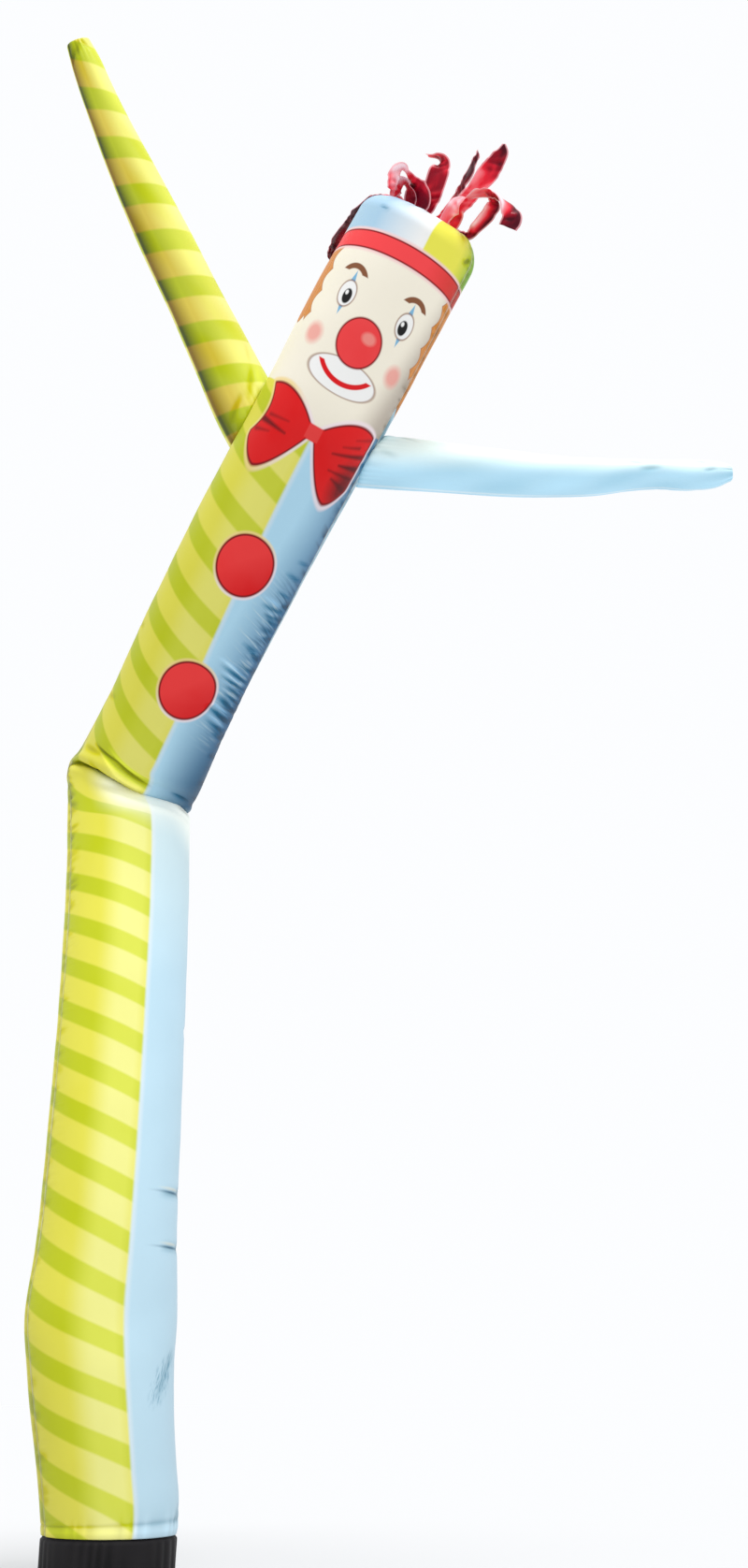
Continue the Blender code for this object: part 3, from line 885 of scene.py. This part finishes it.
# folds and wrinkles are in millimetres and degrees
panels = {
    "bendFolds": (          # across, along, length, tilt, width, depth
        (-110, 1808, 110, -4, 4.2, -4.5), (-35, 1786, 130, -27, 5.6, -4.4),
        (-55, 1772, 160, -24, 5.6, 5.2), (-45, 1812, 140, -20, 6.5, 2.8),
        (-80, 1756, 140, -14, 5, -3), (-165, 1790, 100, 8, 7, -1.8),
        (110, 1735, 100, -30, 7, -3), (120, 1652, 80, -25, 5, -2.8),
        (-235, 1648, 50, -8, 4, -3.4), (-235, 1546, 50, -15, 4, -3.4),
    ),
    # the line the tube folds over on, its tuck, and the swell below and above it
    "crease": (
        (-0.245, 1.722), (-0.190, 1.738), (-0.147, 1.746), (-0.110, 1.747), (-0.068, 1.738),
        (-0.035, 1.724), (-0.005, 1.713), (0.020, 1.708), (0.045, 1.708), (0.065, 1.706),
        (0.095, 1.692), (0.130, 1.674), (0.168, 1.664), (0.245, 1.668),
    ),
    "tuck": (0.014, 0.0045),            # depth and width
    "rim": (0.010, 0.020, 0.014),       # swell, how far from the crease, width
    "overhang": (0.017, 0.022, 0.017),
    "elbow": (0.009, 0.050, 1.730, 0.022),      # swell, reach from the left seam, place, reach
    "tuckedPrint": (0.050, 0.13),   # print hidden in the fold, and over how far below it
    "sideWrinkles": (       # on the right of the upper tube, and a few on its left
        (160, 1978, 150, -23, 5.6, -2.4), (142, 2000, 110, -22, 4, 3.6),
        (152, 2012, 150, -23, 5.7, -4.1), (140, 2032, 110, -22, 4, 3.9),
        (165, 2040, 140, -25, 5, -4.8), (170, 2062, 120, -22, 5, -2.9),
        (155, 2074, 120, -20, 3.7, 1.5), (165, 2080, 130, -20, 4.5, -2.9),
        (150, 2094, 130, -18, 3.7, 2.6), (150, 2102, 140, -17, 4.5, -3.1),
        (140, 2116, 130, -16, 3.7, 2.6), (145, 2125, 150, -18, 4.5, -3.1),
        (130, 2142, 140, -17, 4, 3.1), (175, 2146, 110, -16, 5, -2.4),
        (145, 2203, 80, -14, 4.2, -2.2), (152, 2198, 80, -19, 3.7, 1.7),
        (165, 2190, 90, -22, 4.5, -2.7), (185, 2178, 80, -19, 5.2, -3.1),
        (195, 2234, 70, -14, 5.7, -2.6), (180, 2255, 90, -10, 5, -1.5),
        (150, 2329, 90, -12, 4.2, 2.2), (165, 2311, 110, -7, 5.2, -2.6),
        (158, 2300, 80, -4, 3.7, 1.4), (172, 2291, 90, -7, 4.7, -2.2),
        (182, 2276, 80, -11, 5.2, -2.6), (204, 2324, 60, -10, 5.5, -3.6),
        (175, 2352, 80, -9, 5, -1.6), (180, 2400, 90, -9, 5.5, -2), (190, 2440, 70, -5, 5, -1.6),
        (180, 1955, 110, -20, 5.5, -2.2), (190, 1900, 80, -14, 7, -2),
        (-190, 1930, 80, 12, 7, -1.4), (-200, 2120, 70, 8, 7, -1.2),
    ),
    "footWrinkles": (       # low on the right
        (95, 275, 90, 56, 11, -1.2), (125, 320, 80, 54, 11, -1.2), (125, 692, 120, 4, 9, -2),
        (180, 698, 70, 4, 9, -3), (125, 576, 100, 2, 9, -1.8), (180, 578, 70, 2, 9, -2.8),
        (195, 1075, 80, 0, 9, -4), (175, 34, 80, 24, 6, -2.2), (140, 30, 60, 40, 6, -1.4),
    ),
    "crownFolds": (
        (212, 3232, 36, 60, 7.5, -4.8), (200, 3216, 30, -20, 6, -2.2),
        (-49, 3222, 40, -25, 6, -2.2),
    ),
    "puckered": 3.33,       # how far up the side seams pucker; zones are from, to, strength
    "rightZones": (
        (0.00, 0.20, 1.1), (0.20, 0.42, 1.6), (0.42, 0.80, 1.5), (0.80, 1.50, 0.7),
        (1.50, 1.90, 1.0), (1.90, 2.20, 1.5), (2.20, 2.60, 0.9), (2.60, 2.90, 1.2),
        (2.90, 3.30, 1.0),
    ),
    "leftZones": (
        (0.00, 0.30, 1.0), (0.30, 1.35, 0.7), (1.35, 1.72, 1.3), (1.72, 2.10, 0.7),
        (2.10, 2.50, 0.7), (2.50, 2.90, 1.2), (2.90, 3.30, 1.0),
    ),
    # row spacing up to each place along the tube
    "rowSteps": (
        (0.036, 0.0024), (1.55, 0.0080), (1.69, 0.0040), (1.88, 0.0026), (2.17, 0.0026),
        (2.36, 0.0034), (2.50, 0.0050), (3.3, 0.0068),
    ),
    "frontColumns": 70,
    "backColumns": 56,
    "backCoarser": 1.5,
    "crownRows": 22,
    "columnSpread": 0.16,   # columns stand closer towards the seams
    "overCrown": 0.128,     # cloth from the last row to the crown's seam
    # the print against the cloth: (along, sideways shift) and (along, print's own along)
    "drift": (
        (0.0, 0.000), (1.70, 0.004), (1.85, 0.020), (2.10, 0.036), (2.45, 0.044), (3.40, 0.046),
    ),
    "length": ((0.0, 0.0), (1.66, 1.6955), (1.74, 1.780), (3.40, 3.3733)),
    # the painted highlight on the rim: how far below the crease it starts and its blend, then the
    # same across
    "rimHighlight": (0.19, 0.12, 0.15, 0.10),
    # the hem's fold and its stitched groove: place, width, height
    "hem": ((0.011, 0.0075, 0.0011), (0.0235, 0.0030, -0.0009)),
}


def readPairs(pairs, at):
    return np.interp(at, [p[0] for p in pairs], [p[1] for p in pairs])


def tubeFrames(at):
    knots, centres = stations(tube)
    middle = smooth(knots, centres, at)
    axis = headings(knots, centres, at, tube["bendReach"], tube["endReach"])
    turn = np.radians(smooth(knots, column(tube, "turn"), at))
    faces = np.stack([np.sin(turn), -np.cos(turn), np.zeros_like(turn)], axis=1)
    front = squareTo(axis, faces)
    return middle, axis, np.cross(axis, front), front


# the plain skin of the tube: rows along it and over the crown, columns round it
def tubeSkin(at, crown, angles):
    knots = stations(tube)[0]
    middle, axis, side, front = tubeFrames(at)
    wide = smooth(knots, column(tube, "halfWide"), at)
    # the section closes up along the crease, which wanders across the tube
    across = tube["radius"] * np.arcsin(np.sin(angles))
    tilted = at[:, None] + knots[tube["bendRow"]] - readPairs(panels["crease"], across)
    nearBend = bump(at, 1.70, 0.16)[:, None]
    readAt = np.clip(at[:, None] * (1 - nearBend) + tilted * nearBend, 0, knots[-1])
    deepFront = smooth(knots, column(tube, "front"), readAt)
    deepBack = smooth(knots, column(tube, "back"), readAt)
    deep = np.where(np.cos(angles) > 0, deepFront, deepBack)
    body = ring(middle[:, None], side[:, None], front[:, None], wide[:, None], deep, angles)
    lift = np.sin(crown)[:, None, None] * tube["crownRise"] * axis[-1]
    draw = np.cos(crown)[:, None]
    ridge = tube["crownRidge"] + (wide[-1] - tube["crownRidge"]) * draw
    cap = ring(middle[-1] + lift, side[-1], front[-1], ridge, deep[-1] * draw, angles)
    overCrown = np.repeat(front[-1:], len(crown), axis=0)
    return np.concatenate([body, cap]), np.concatenate([front, overCrown])


def rowPlaces(last, coarser):
    places = [0.0]
    for end, step in panels["rowSteps"]:
        while places[-1] + step * coarser < min(end, last):
            places.append(places[-1] + step * coarser)
    return np.array(places + [last])


# the cloth's unevenness on one panel, outward, and the part of it that shades the print
def panelHeight(across, along, seam, onRight, facing, seed):
    folds = np.zeros_like(along)
    swell, reach, place, length = panels["elbow"]
    height = swell * bump(seam, 0, reach) * (1 - onRight) * bump(along, place, length)
    if facing > 0:
        for group in ("bendFolds", "sideWrinkles", "footWrinkles", "crownFolds"):
            folds += foldHeight(across, along, panels[group])
        past = along - readPairs(panels["crease"], across)
        deep, sharp = panels["tuck"]
        inside = (1 - bump(seam, 0, 0.045)) * (1 - 0.75 * ease((across - 0.09) / 0.10))
        for sign, part in ((-1, "rim"), (1, "overhang")):
            swell, away, width = panels[part]
            height += swell * inside * bump(past, sign * away, width)
        height -= deep * np.exp(-np.abs(past) / sharp) * (0.3 + 0.7 * inside)
        # a painted line of shade along the crease
        folds -= 0.004 * np.exp(-np.abs(past - 0.002) / sharp)
    for right, zones in ((1, panels["rightZones"]), (0, panels["leftZones"])):
        puckers = seamPuckers(seed + right, panels["puckered"], zones)
        pucker = foldHeight(seam, along, puckers) * (onRight == right)
        # each pucker's full depth goes to the painted shade, even where the seam runs straight
        folds += pucker
        height -= pucker * (1 - ease(seam / 0.035))     # the seam itself runs straight
    # the crown's cloth gathers towards its seam
    gather = np.sin(across * 95 + 2 * np.sin(across * 31)) * np.cos(across * 17)
    folds += ease((along - 3.24) / 0.10) * 0.0007 * gather
    # drawn in along both seams
    height -= 0.0022 * bump(seam, 0, 0.0065)
    # painted shade in the stitched groove beside each seam
    folds -= 0.0010 * bump(seam, 0.0085, 0.0040)
    # the hem, folded up and stitched
    for place, width, size in panels["hem"]:
        folds += size * bump(along, place, width)
    folds += 0.0005 * np.sin(across * 180 + 3 * np.sin(across * 50)) * bump(along, 0.016, 0.016)
    # blown-up cloth is never quite even
    broad = np.sin(along * 9.0 + 2.1 * np.sin(across * 6)) * np.cos(across * 8.3 + along * 3.1)
    small = np.sin(along * 31 + across * 22) * np.cos(across * 37 - along * 12)
    height += 0.0010 * broad + 0.0005 * small
    return height + folds, folds


# one half of the tube, the front (1) or the back (-1)
def buildPanel(name, facing, columns, coarser, seed):
    radius = tube["radius"]
    last = stations(tube)[0][-1]
    at = rowPlaces(last, coarser)
    crown = np.linspace(0, math.pi / 2, panels["crownRows"])[1:]
    step = np.linspace(-1, 1, columns)
    spread = panels["columnSpread"]
    angles = math.pi / 2 * ((1 + spread) * step - spread * step ** 3)
    if facing < 0:
        angles = angles + math.pi
    points, front = tubeSkin(at, crown, angles)
    along = np.concatenate([at, last + panels["overCrown"] * np.sin(crown)])[:, None] + 0 * angles
    across = 0 * along + radius * angles
    centre = 0 if facing > 0 else math.pi * radius
    seam = radius * math.pi / 2 - np.abs(across - centre)
    onRight = (np.sin(across / radius) > 0) * 1
    height, folds = panelHeight(across, along, seam, onRight, facing, seed)
    past = along - readPairs(panels["crease"], across) if facing > 0 else 0 * along - 1
    below, blend, start, reach = panels["rimHighlight"]
    # where the rim's painted highlight lies below the crease
    rim = ease((past + below) / blend) * (past < 0.004) * ease((across + start) / reach)
    normals = outward(points)
    normals[-1] = normals[-2]
    points = points + normals * height[..., None]
    surface = points[::2]
    # the edges turn in, as the seams' allowance
    turned = [points - normals * tube["allowance"] * share for share in (1.0, 0.35)]
    points = np.concatenate([
        turned[0][:, :1], turned[1][:, :1], points, turned[1][:, -1:], turned[0][:, -1:],
    ], axis=1)
    down = tubeFrames(at[-1:])[1][0] * tube["allowance"]
    points = np.concatenate([points, points[-1:] - down])
    front = np.concatenate([front, front[-1:]])
    points = points + front[:, None, :] * facing * tube["seamGap"] / 2
    sides = ((0, 1), (2, 2))
    along, across, seam, folds, rim = (
        np.pad(values, sides, mode="edge") for values in (along, across, seam, folds, rim)
    )
    spot = across - (math.tau * radius if facing < 0 else 0)
    hidden, reach = panels["tuckedPrint"]
    fold = readPairs(panels["crease"], np.clip(spot, -0.245, 0.245))
    tucked = hidden * ease((along - fold + reach) / reach) * (along < fold)
    tucked = tucked * np.cos(spot * 0.5 / radius) ** 2
    printMap = np.stack([
        spot - readPairs(panels["drift"], along), readPairs(panels["length"], along) - tucked,
    ], axis=-1)
    made = gridPiece(name, points, printMap, {"seam": seam, "fold": folds, "rim": rim})
    return made, surface


frontCloth, frontSurface = buildPanel("front_cloth", 1, panels["frontColumns"], 1.0, 11)
backCloth, backSurface = buildPanel(
    "back_cloth", -1, panels["backColumns"], panels["backCoarser"], 47
)
print("the tube's two panels are shaped")

# ---- the arms ----

arms = {
    "rows": 170,
    "columns": 96,
    "reach": 0.04,
    "endReach": 0.02,
    "radius": 0.060,        # of the print round an arm
    "clearOfTube": 0.0006,
    "rootGather": 0.0010,
    "tipGather": 0.0013,
    "tipRows": 8,
    "opening": {"at": 0.12, "margin": 0.014, "behind": 0.12, "ahead": 0.20},
    "raisedFolds": (        # across, along, length, tilt, width, depth
        (-10, 1055, 50, 70, 5, -4), (12, 1060, 40, 110, 5, -3.5), (-30, 1040, 50, 50, 5, -3),
        (20, 160, 120, 60, 8, -3), (-40, 120, 90, 40, 8, -3), (50, 230, 90, 70, 7, -1),
    ),
    "levelFolds": (
        (-30, 760, 80, 78, 7, -3), (-10, 800, 70, 84, 7, -3.4), (10, 836, 80, 96, 7, -3),
        (-20, 980, 50, 80, 5.5, -3), (10, 1000, 45, 100, 5, -2.8), (-40, 180, 90, 60, 7, -2),
        (20, 130, 70, 75, 7, -1.8),
    ),
}


# both panels as one surface, for finding where the arms meet it
def surfaceTree(grids):
    spots, faces = [], []
    for grid in grids:
        rows, columns = grid.shape[:2]
        for r in range(rows - 1):
            for c in range(columns - 1):
                corner = len(spots) + r * columns + c
                faces.append((corner, corner + 1, corner + columns + 1, corner + columns))
        spots += [Vector(point) for point in grid.reshape(-1, 3)]
    return BVHTree.FromPolygons(spots, faces)


tubeSurface = surfaceTree((frontSurface, backSurface))


def armFrames(arm, at):
    knots, centres = stations(arm)
    axis = headings(knots, centres, at, arms["reach"], arms["endReach"])
    ahead = np.zeros_like(axis)
    ahead[..., 1] = -1
    front = squareTo(axis, ahead)
    return smooth(knots, centres, at), axis, np.cross(axis, front), front


def armSkin(arm, at, angles):
    knots = stations(arm)[0]
    middle, _, side, front = armFrames(arm, at)
    wide = smooth(knots, column(arm, "halfWide"), at)
    deep = smooth(knots, column(arm, "halfDeep"), at)
    return ring(middle, side, front, wide, deep, angles), wide


# how far along the arm each column leaves the tube's surface
def armRoot(arm, angles):
    low = np.zeros_like(angles)
    high = np.full_like(angles, 0.42)
    for _ in range(16):
        middle = (low + high) / 2
        for i, point in enumerate(armSkin(arm, middle, angles)[0]):
            place, normal = tubeSurface.find_nearest(Vector(point))[:2]
            if (Vector(point) - place).dot(normal) > arms["clearOfTube"]:
                high[i] = middle[i]
            else:
                low[i] = middle[i]
    return high


def armHeight(around, at, root, seam, wide, length, folds, seed):
    fromRoot = at - root
    height = foldHeight(around * wide, at, folds)
    puckers = seamPuckers(seed, length, ((0.0, 0.30, 1.3), (0.9, 1.2, 1.5)))
    height += 0.8 * foldHeight(seam, at, puckers)
    # small gathers where the arm is sewn to the tube, and at its tip
    gather = np.sin(around * 23 + 2.5 * np.sin(around * 5))
    height += arms["rootGather"] * gather * np.exp(-fromRoot / 0.030) * ease(fromRoot / 0.004)
    gather = np.sin(around * 13 + 2 * np.sin(around * 4))
    height += arms["tipGather"] * gather * np.exp(-(length - at) / 0.030)
    height += 0.0007 * np.sin(at * 21 + 2 * np.sin(around)) * np.cos(around * 3 + at * 5)
    return height - 0.0020 * bump(fromRoot, 0, 0.007) - 0.0012 * bump(seam, 0, 0.005)


def buildArm(name, arm, folds, seed):
    length = stations(arm)[0][-1]
    angles = np.linspace(-math.pi, math.pi, arms["columns"] + 1)
    root = armRoot(arm, angles)
    root[-1] = root[0]
    at = root + (length - root) * (np.linspace(0, 1, arms["rows"]) ** 1.06)[:, None]
    around = 0 * at + angles
    points, wide = armSkin(arm, at, around)
    seam = (math.pi - np.abs(around)) * wide
    height = armHeight(around, at, root, seam, wide, length, folds, seed)
    height[:, -1] = height[:, 0]
    normals = outward(points)
    normals[:, 0] = unit(normals[:, 0] + normals[:, -1])
    normals[:, -1] = normals[:, 0]
    points = points + normals * height[..., None]
    # the tip closes in a short flat seam
    plain = armSkin(arm, at[-1], angles)[0]
    middle, axis, side, front = (part[-1] for part in armFrames(arm, at[-1]))
    turns = np.linspace(0, math.pi / 2, arms["tipRows"] + 1)[1:, None]
    ridge = arm["tipRidge"] + (wide[-1, 0] - arm["tipRidge"]) * np.cos(turns)
    deep = column(arm, "halfDeep")[-1] * np.cos(turns)
    lift = axis * (arm["tipRise"] * np.sin(turns))[..., None]
    cap = ring(middle + lift, side, front, ridge, deep, angles)
    cap = cap + (points[-1] - plain) * (np.cos(turns) ** 2)[..., None]
    points = np.concatenate([points, cap])
    at = np.concatenate([at, length + arm["tipRise"] * np.sin(turns) + 0 * angles])
    around = 0 * at + angles
    more = ((0, arms["tipRows"]), (0, 0))
    seam, height = (np.pad(values, more, mode="edge") for values in (seam, height))
    printMap = np.stack([around * arms["radius"], at], axis=-1)
    return gridPiece(name, points, printMap, {"seam": seam, "fold": height * 0.5}, closed=True)


raisedCloth = buildArm("raised_arm_cloth", raisedArm, arms["raisedFolds"], 5)
levelCloth = buildArm("level_arm_cloth", levelArm, arms["levelFolds"], 8)
print("the arms are shaped")


# a panel is open behind each arm's root, a little inside its seam
def openBehind(panel, arm):
    opening = arms["opening"]
    middle, axis, side, front = (part[0] for part in armFrames(arm, np.array([opening["at"]])))
    mesh = panel.data
    places = np.zeros(len(mesh.polygons) * 3)
    mesh.polygons.foreach_get("center", places)
    off = places.reshape(-1, 3) - middle
    wide = column(arm, "halfWide")[1] - opening["margin"]
    deep = column(arm, "halfDeep")[1] - opening["margin"]
    hit = ((off @ side) / wide) ** 2 + ((off @ front) / deep) ** 2 < 1
    hit &= (off @ axis > -opening["behind"]) & (off @ axis < opening["ahead"])
    pickOnly(panel)
    bpy.ops.object.mode_set(mode="EDIT")
    bpy.ops.mesh.select_mode(type="FACE")
    bpy.ops.mesh.select_all(action="DESELECT")
    bpy.ops.object.mode_set(mode="OBJECT")
    mesh.polygons.foreach_set("select", hit)
    bpy.ops.object.mode_set(mode="EDIT")
    bpy.ops.mesh.delete(type="FACE")
    bpy.ops.object.mode_set(mode="OBJECT")


for panel in (frontCloth, backCloth):
    for arm in (raisedArm, levelArm):
        openBehind(panel, arm)
for piece in (frontCloth, backCloth, raisedCloth, levelCloth):
    finishCloth(piece, tube["cloth"])
print("the tube and arms have their cloth's thickness")

# ---- the base sleeve ----

sleeve = {
    "radius": 0.1434,
    "printRadius": 0.1440,
    "height": 0.147,
    "hem": 0.132,           # where the tube's hem covers it
    "underHem": 0.1372,
    "pleats": 34,
    "pleatDepth": 0.0022,
    "slack": 0.0012,        # a sag half-way up
    "stitchRow": (0.014, 0.0025, 0.0010),       # height, width, depth
    "rows": 46,
    "columns": 420,
    "cloth": 0.0016,
}


def buildSleeve():
    around = np.linspace(0, math.tau, sleeve["columns"] + 1)
    at = np.linspace(0, sleeve["height"], sleeve["rows"])[:, None]
    high = at / sleeve["hem"]
    bend = around + 0.10 * np.sin(around * 3 + 1) + 0.05 * np.sin(around * 7)
    wave = np.sin(bend * sleeve["pleats"] + 0.5 * np.sin(high * 4 + around * 2))
    pleat = -sleeve["pleatDepth"] * (1 - wave) * (0.55 + 0.45 * np.sin(around * 5 + 2 * high))
    pleat = pleat * (0.45 + 0.55 * ease(1 - high))
    slack = -sleeve["slack"] * bump(high, 0.55, 0.25) * np.sin(around * 4 + 1) ** 2
    tuck = ease((high - 0.93) / 0.06)
    place, width, depth = sleeve["stitchRow"]
    relief = (pleat + slack) * (1 - tuck) - depth * bump(at, place, width)
    radius = sleeve["radius"] * (1 - tuck) + sleeve["underHem"] * tuck + relief
    radius[:, -1] = radius[:, 0]
    at = at + 0 * radius
    points = np.stack([radius * np.sin(around), -radius * np.cos(around), at], axis=-1)
    printMap = np.stack([around * sleeve["printRadius"] + 0 * radius, at], axis=-1)
    return gridPiece("sleeve_cloth", points, printMap, {"fold": relief}, closed=True)


sleeveCloth = buildSleeve()
finishCloth(sleeveCloth, sleeve["cloth"])
print("the base sleeve is shaped")

# ---- the streamers ----

ribbon = {
    "steps": 96,
    "columns": 13,
    "cup": 0.10,            # how far a ribbon's section is dished, of its width
    "crumple": 0.0018,
    "cloth": 0.0007,
}
# each row of a streamer is (side, up, front, spin, wide, bright, lean), from the crown's seam
# outwards, in millimetres and degrees; bright is its painted light and shade, from maroon at 0
# to pink at 1.5, and lean is how much that changes from one edge to the other
streamers = {
    "streamer_left_curl": (
        (-52, 0.4, 4, 0, 24, 0.4, 0), (-59, 16, 10, 5, 34, 0.4, 0),
        (-64, 33, 20, 35, 38, 0.7, 0.4), (-78, 39, 32, 80, 42, 1.1, 1.4),
        (-87, 27, 42, 104, 44, 1.4, 1.6), (-89, 7, 46, 110, 36, 1.3, 1.2),
        (-86, -11, 46, 112, 26, 1.5, 0.4),
    ),
    "streamer_left_fold": (
        (-28, 0.4, 6, 0, 24, 0.3, 0), (-30, 15, 10, 0, 44, 0.3, 0),
        (-40, 32, 20, 0, 56, 0.3, 0.4), (-58, 45, 32, 12, 52, 0.5, 0.8),
        (-74, 52, 46, 42, 44, 1, 0.9), (-90, 55, 60, 90, 40, 1.7, 0.2),
        (-95, 41, 70, 112, 38, 1.9, 0), (-90, 19, 76, 116, 36, 1.5, -0.6),
        (-82, -2, 78, 116, 30, 1.2, 0),
    ),
    "streamer_left_tall": (
        (-16, 0.4, -4, 0, 24, 0.5, 0), (-17, 19, -6, 0, 36, 0.5, 0),
        (-24, 49, -6, 0, 48, 0.5, 0.2), (-31, 80, -6, 0, 54, 0.55, 0.2),
        (-38, 107, -10, 5, 48, 0.5, 0.3), (-43, 129, -20, 25, 36, 0.5, 0.5),
        (-67, 142, -34, 55, 28, 0.6, 0.8), (-99, 139, -44, 66, 16, 1, 0),
    ),
    "streamer_back_thin": (
        (14, 0.4, -5, 0, 20, 0.9, 0), (14, 16, -12, 40, 24, 0.9, 0),
        (15, 57, -26, 72, 30, 0.9, 0), (17, 98, -34, 92, 34, 0.3, 0),
        (14, 143, -44, 96, 36, 0, 0), (8, 180, -52, 96, 30, 0, 0), (5, 200, -56, 96, 18, 0.2, 0),
    ),
    "streamer_right_tall": (
        (48, 0.4, -4, 0, 22, 0.9, 0), (49, 17, -4, 5, 28, 0.9, 0), (59, 60, 4, 8, 38, 1.1, 0),
        (72, 108, 12, 8, 46, 1.15, -0.2), (81, 139, 20, 5, 50, 0.95, -0.3),
        (87, 172, 26, 0, 46, 0.4, -0.2), (89, 195, 28, 5, 32, 0.15, 0),
        (83, 214, 30, 10, 8, -0.3, 0),
    ),
    "streamer_right_arch": (
        (40, 0.4, 5, 0, 22, 1.2, 0), (40, 16, 12, 12, 30, 1.3, 0),
        (54, 43, 32, 30, 42, 1.6, -0.4), (75, 64, 48, 64, 46, 1.5, 0.2),
        (99, 84, 60, 90, 48, 1.2, 0.8), (124, 94, 68, 104, 48, 0.8, 1),
        (154, 92, 74, 126, 48, 1, 2), (184, 81, 78, 150, 48, 0.9, 2.6),
        (204, 64, 80, 170, 46, 0.2, 0.8), (207, 39, 80, 178, 42, 0, 0),
    ),
    "streamer_right_drop": (
        (74, 0.4, -5, 0, 20, 0.2, 0), (88, 3, -6, 5, 20, 0.2, 0),
        (105, 6, -4, 10, 20, 0.3, -0.4), (114, 22, 4, 12, 30, 0.9, -2.2),
        (123, 44, 12, 12, 38, 0.95, -2.8), (132, 67, 22, 12, 36, 0.8, -2.4),
        (134, 87, 32, 14, 34, 0.5, -1), (124, 96, 44, 16, 26, 0.5, 0),
    ),
    "streamer_right_stub": (
        (66, 0.4, 6, 0, 22, 1, 0), (64, 14, 10, 0, 30, 0.95, 0), (61, 26, 16, 0, 36, 0.95, -0.3),
        (58, 38, 24, 0, 38, 1, 0),
    ),
    "streamer_left_hanging": (
        (-74, 0.4, -4, 0, 20, 0.9, 0), (-95, 7, -10, 15, 22, 0.9, 0),
        (-131, 3, -12, 60, 28, 0.8, 0), (-156, -16, -10, 84, 34, 0.4, 0),
        (-168, -52, -6, 92, 40, 0.1, 0), (-173, -88, -2, 92, 44, 0.1, 0),
        (-175, -124, 4, 92, 46, 0.35, -0.5), (-174, -158, 10, 92, 44, 0.15, 0),
        (-169, -188, 14, 88, 36, 0.1, 0),
    ),
}


def buildStreamer(name, rows, seed):
    centre, axis, side, front = (part[0] for part in tubeFrames(stations(tube)[0][-1:]))
    centre = centre + axis * tube["crownRise"]
    up = np.cross(front, side)
    table = np.array(rows)
    places = table[:, :3] / 1000 @ np.stack([side, up, front]) + centre
    knots = runAlong(places)
    at = np.linspace(0, knots[-1], ribbon["steps"])
    middle = smooth(knots, places, at)
    along = unit(np.gradient(middle, at, axis=0))
    along[0] = up
    spin = np.radians(smooth(knots, table[:, 3], at))[:, None]
    wide = smooth(knots, table[:, 4] / 1000, at)
    width = squareTo(along, side * np.cos(spin) + front * np.sin(spin))
    proud = np.cross(width, along)
    step = np.linspace(-0.5, 0.5, ribbon["columns"])
    phase = seed * 1.7
    free = ease(at / 0.03)[:, None]
    edge = 1 + 0.05 * np.sin(at * 95 + phase)[:, None] * free
    dish = ribbon["cup"] * wide[:, None] * (step ** 2 - 0.08) * 4 * free * (-1) ** seed
    run = at[:, None] + 0.012 * np.sin(at[:, None] * 70 + phase)
    crumple = ribbon["crumple"] * free * (
        np.sin(run * 120 + step * 5 + phase) * np.cos(step * 4 - run * 40)
        + 0.5 * np.sin(run * 230 - step * 8 + 2 * phase)
    )
    points = (
        middle[:, None] + width[:, None] * (wide[:, None] * edge * step)[..., None]
        + proud[:, None] * (dish + crumple)[..., None]
    )
    run = at[:, None] + 0 * step
    spot = wide[:, None] * step
    printMap = np.stack([spot, run], axis=-1)
    seam = wide[:, None] / 2 - np.abs(spot)
    bright, lean = (smooth(knots, table[:, i], at)[:, None] for i in (5, 6))
    marks = {"seam": seam, "fold": crumple, "bright": bright + lean * step}
    made = gridPiece(name, points, printMap, marks)
    finishCloth(made, ribbon["cloth"], 0.0)
    return made, wide, knots[-1]


ribbons = {
    node: buildStreamer(node + "_ribbon", rows, i)
    for i, (node, rows) in enumerate(streamers.items())
}
print("the streamers are shaped")

# ---- what each piece stands for ----

clothPieces = (
    # piece, CAD node, material slot, paint
    (frontCloth, "front_panel", "print_cloth", frontPaint),
    (backCloth, "back_panel", "print_cloth", backPaint),
    (raisedCloth, "arm_raised", "striped_cloth", raisedPaint),
    (levelCloth, "arm_level", "blue_cloth", levelPaint),
    (sleeveCloth, "base_sleeve", "black_cloth", sleevePaint),
)


def standFor(piece, node, slot, paint):
    piece.data.materials.clear()
    piece.data.materials.append(paint)
    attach(piece, "root")
    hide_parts(node)


for row in clothPieces:
    standFor(*row)
for node, (piece, wide, length) in ribbons.items():
    standFor(piece, node, "red_ribbon", ribbonPaint)
    float(wide.mean() * length)
print("every piece rides on the frame")
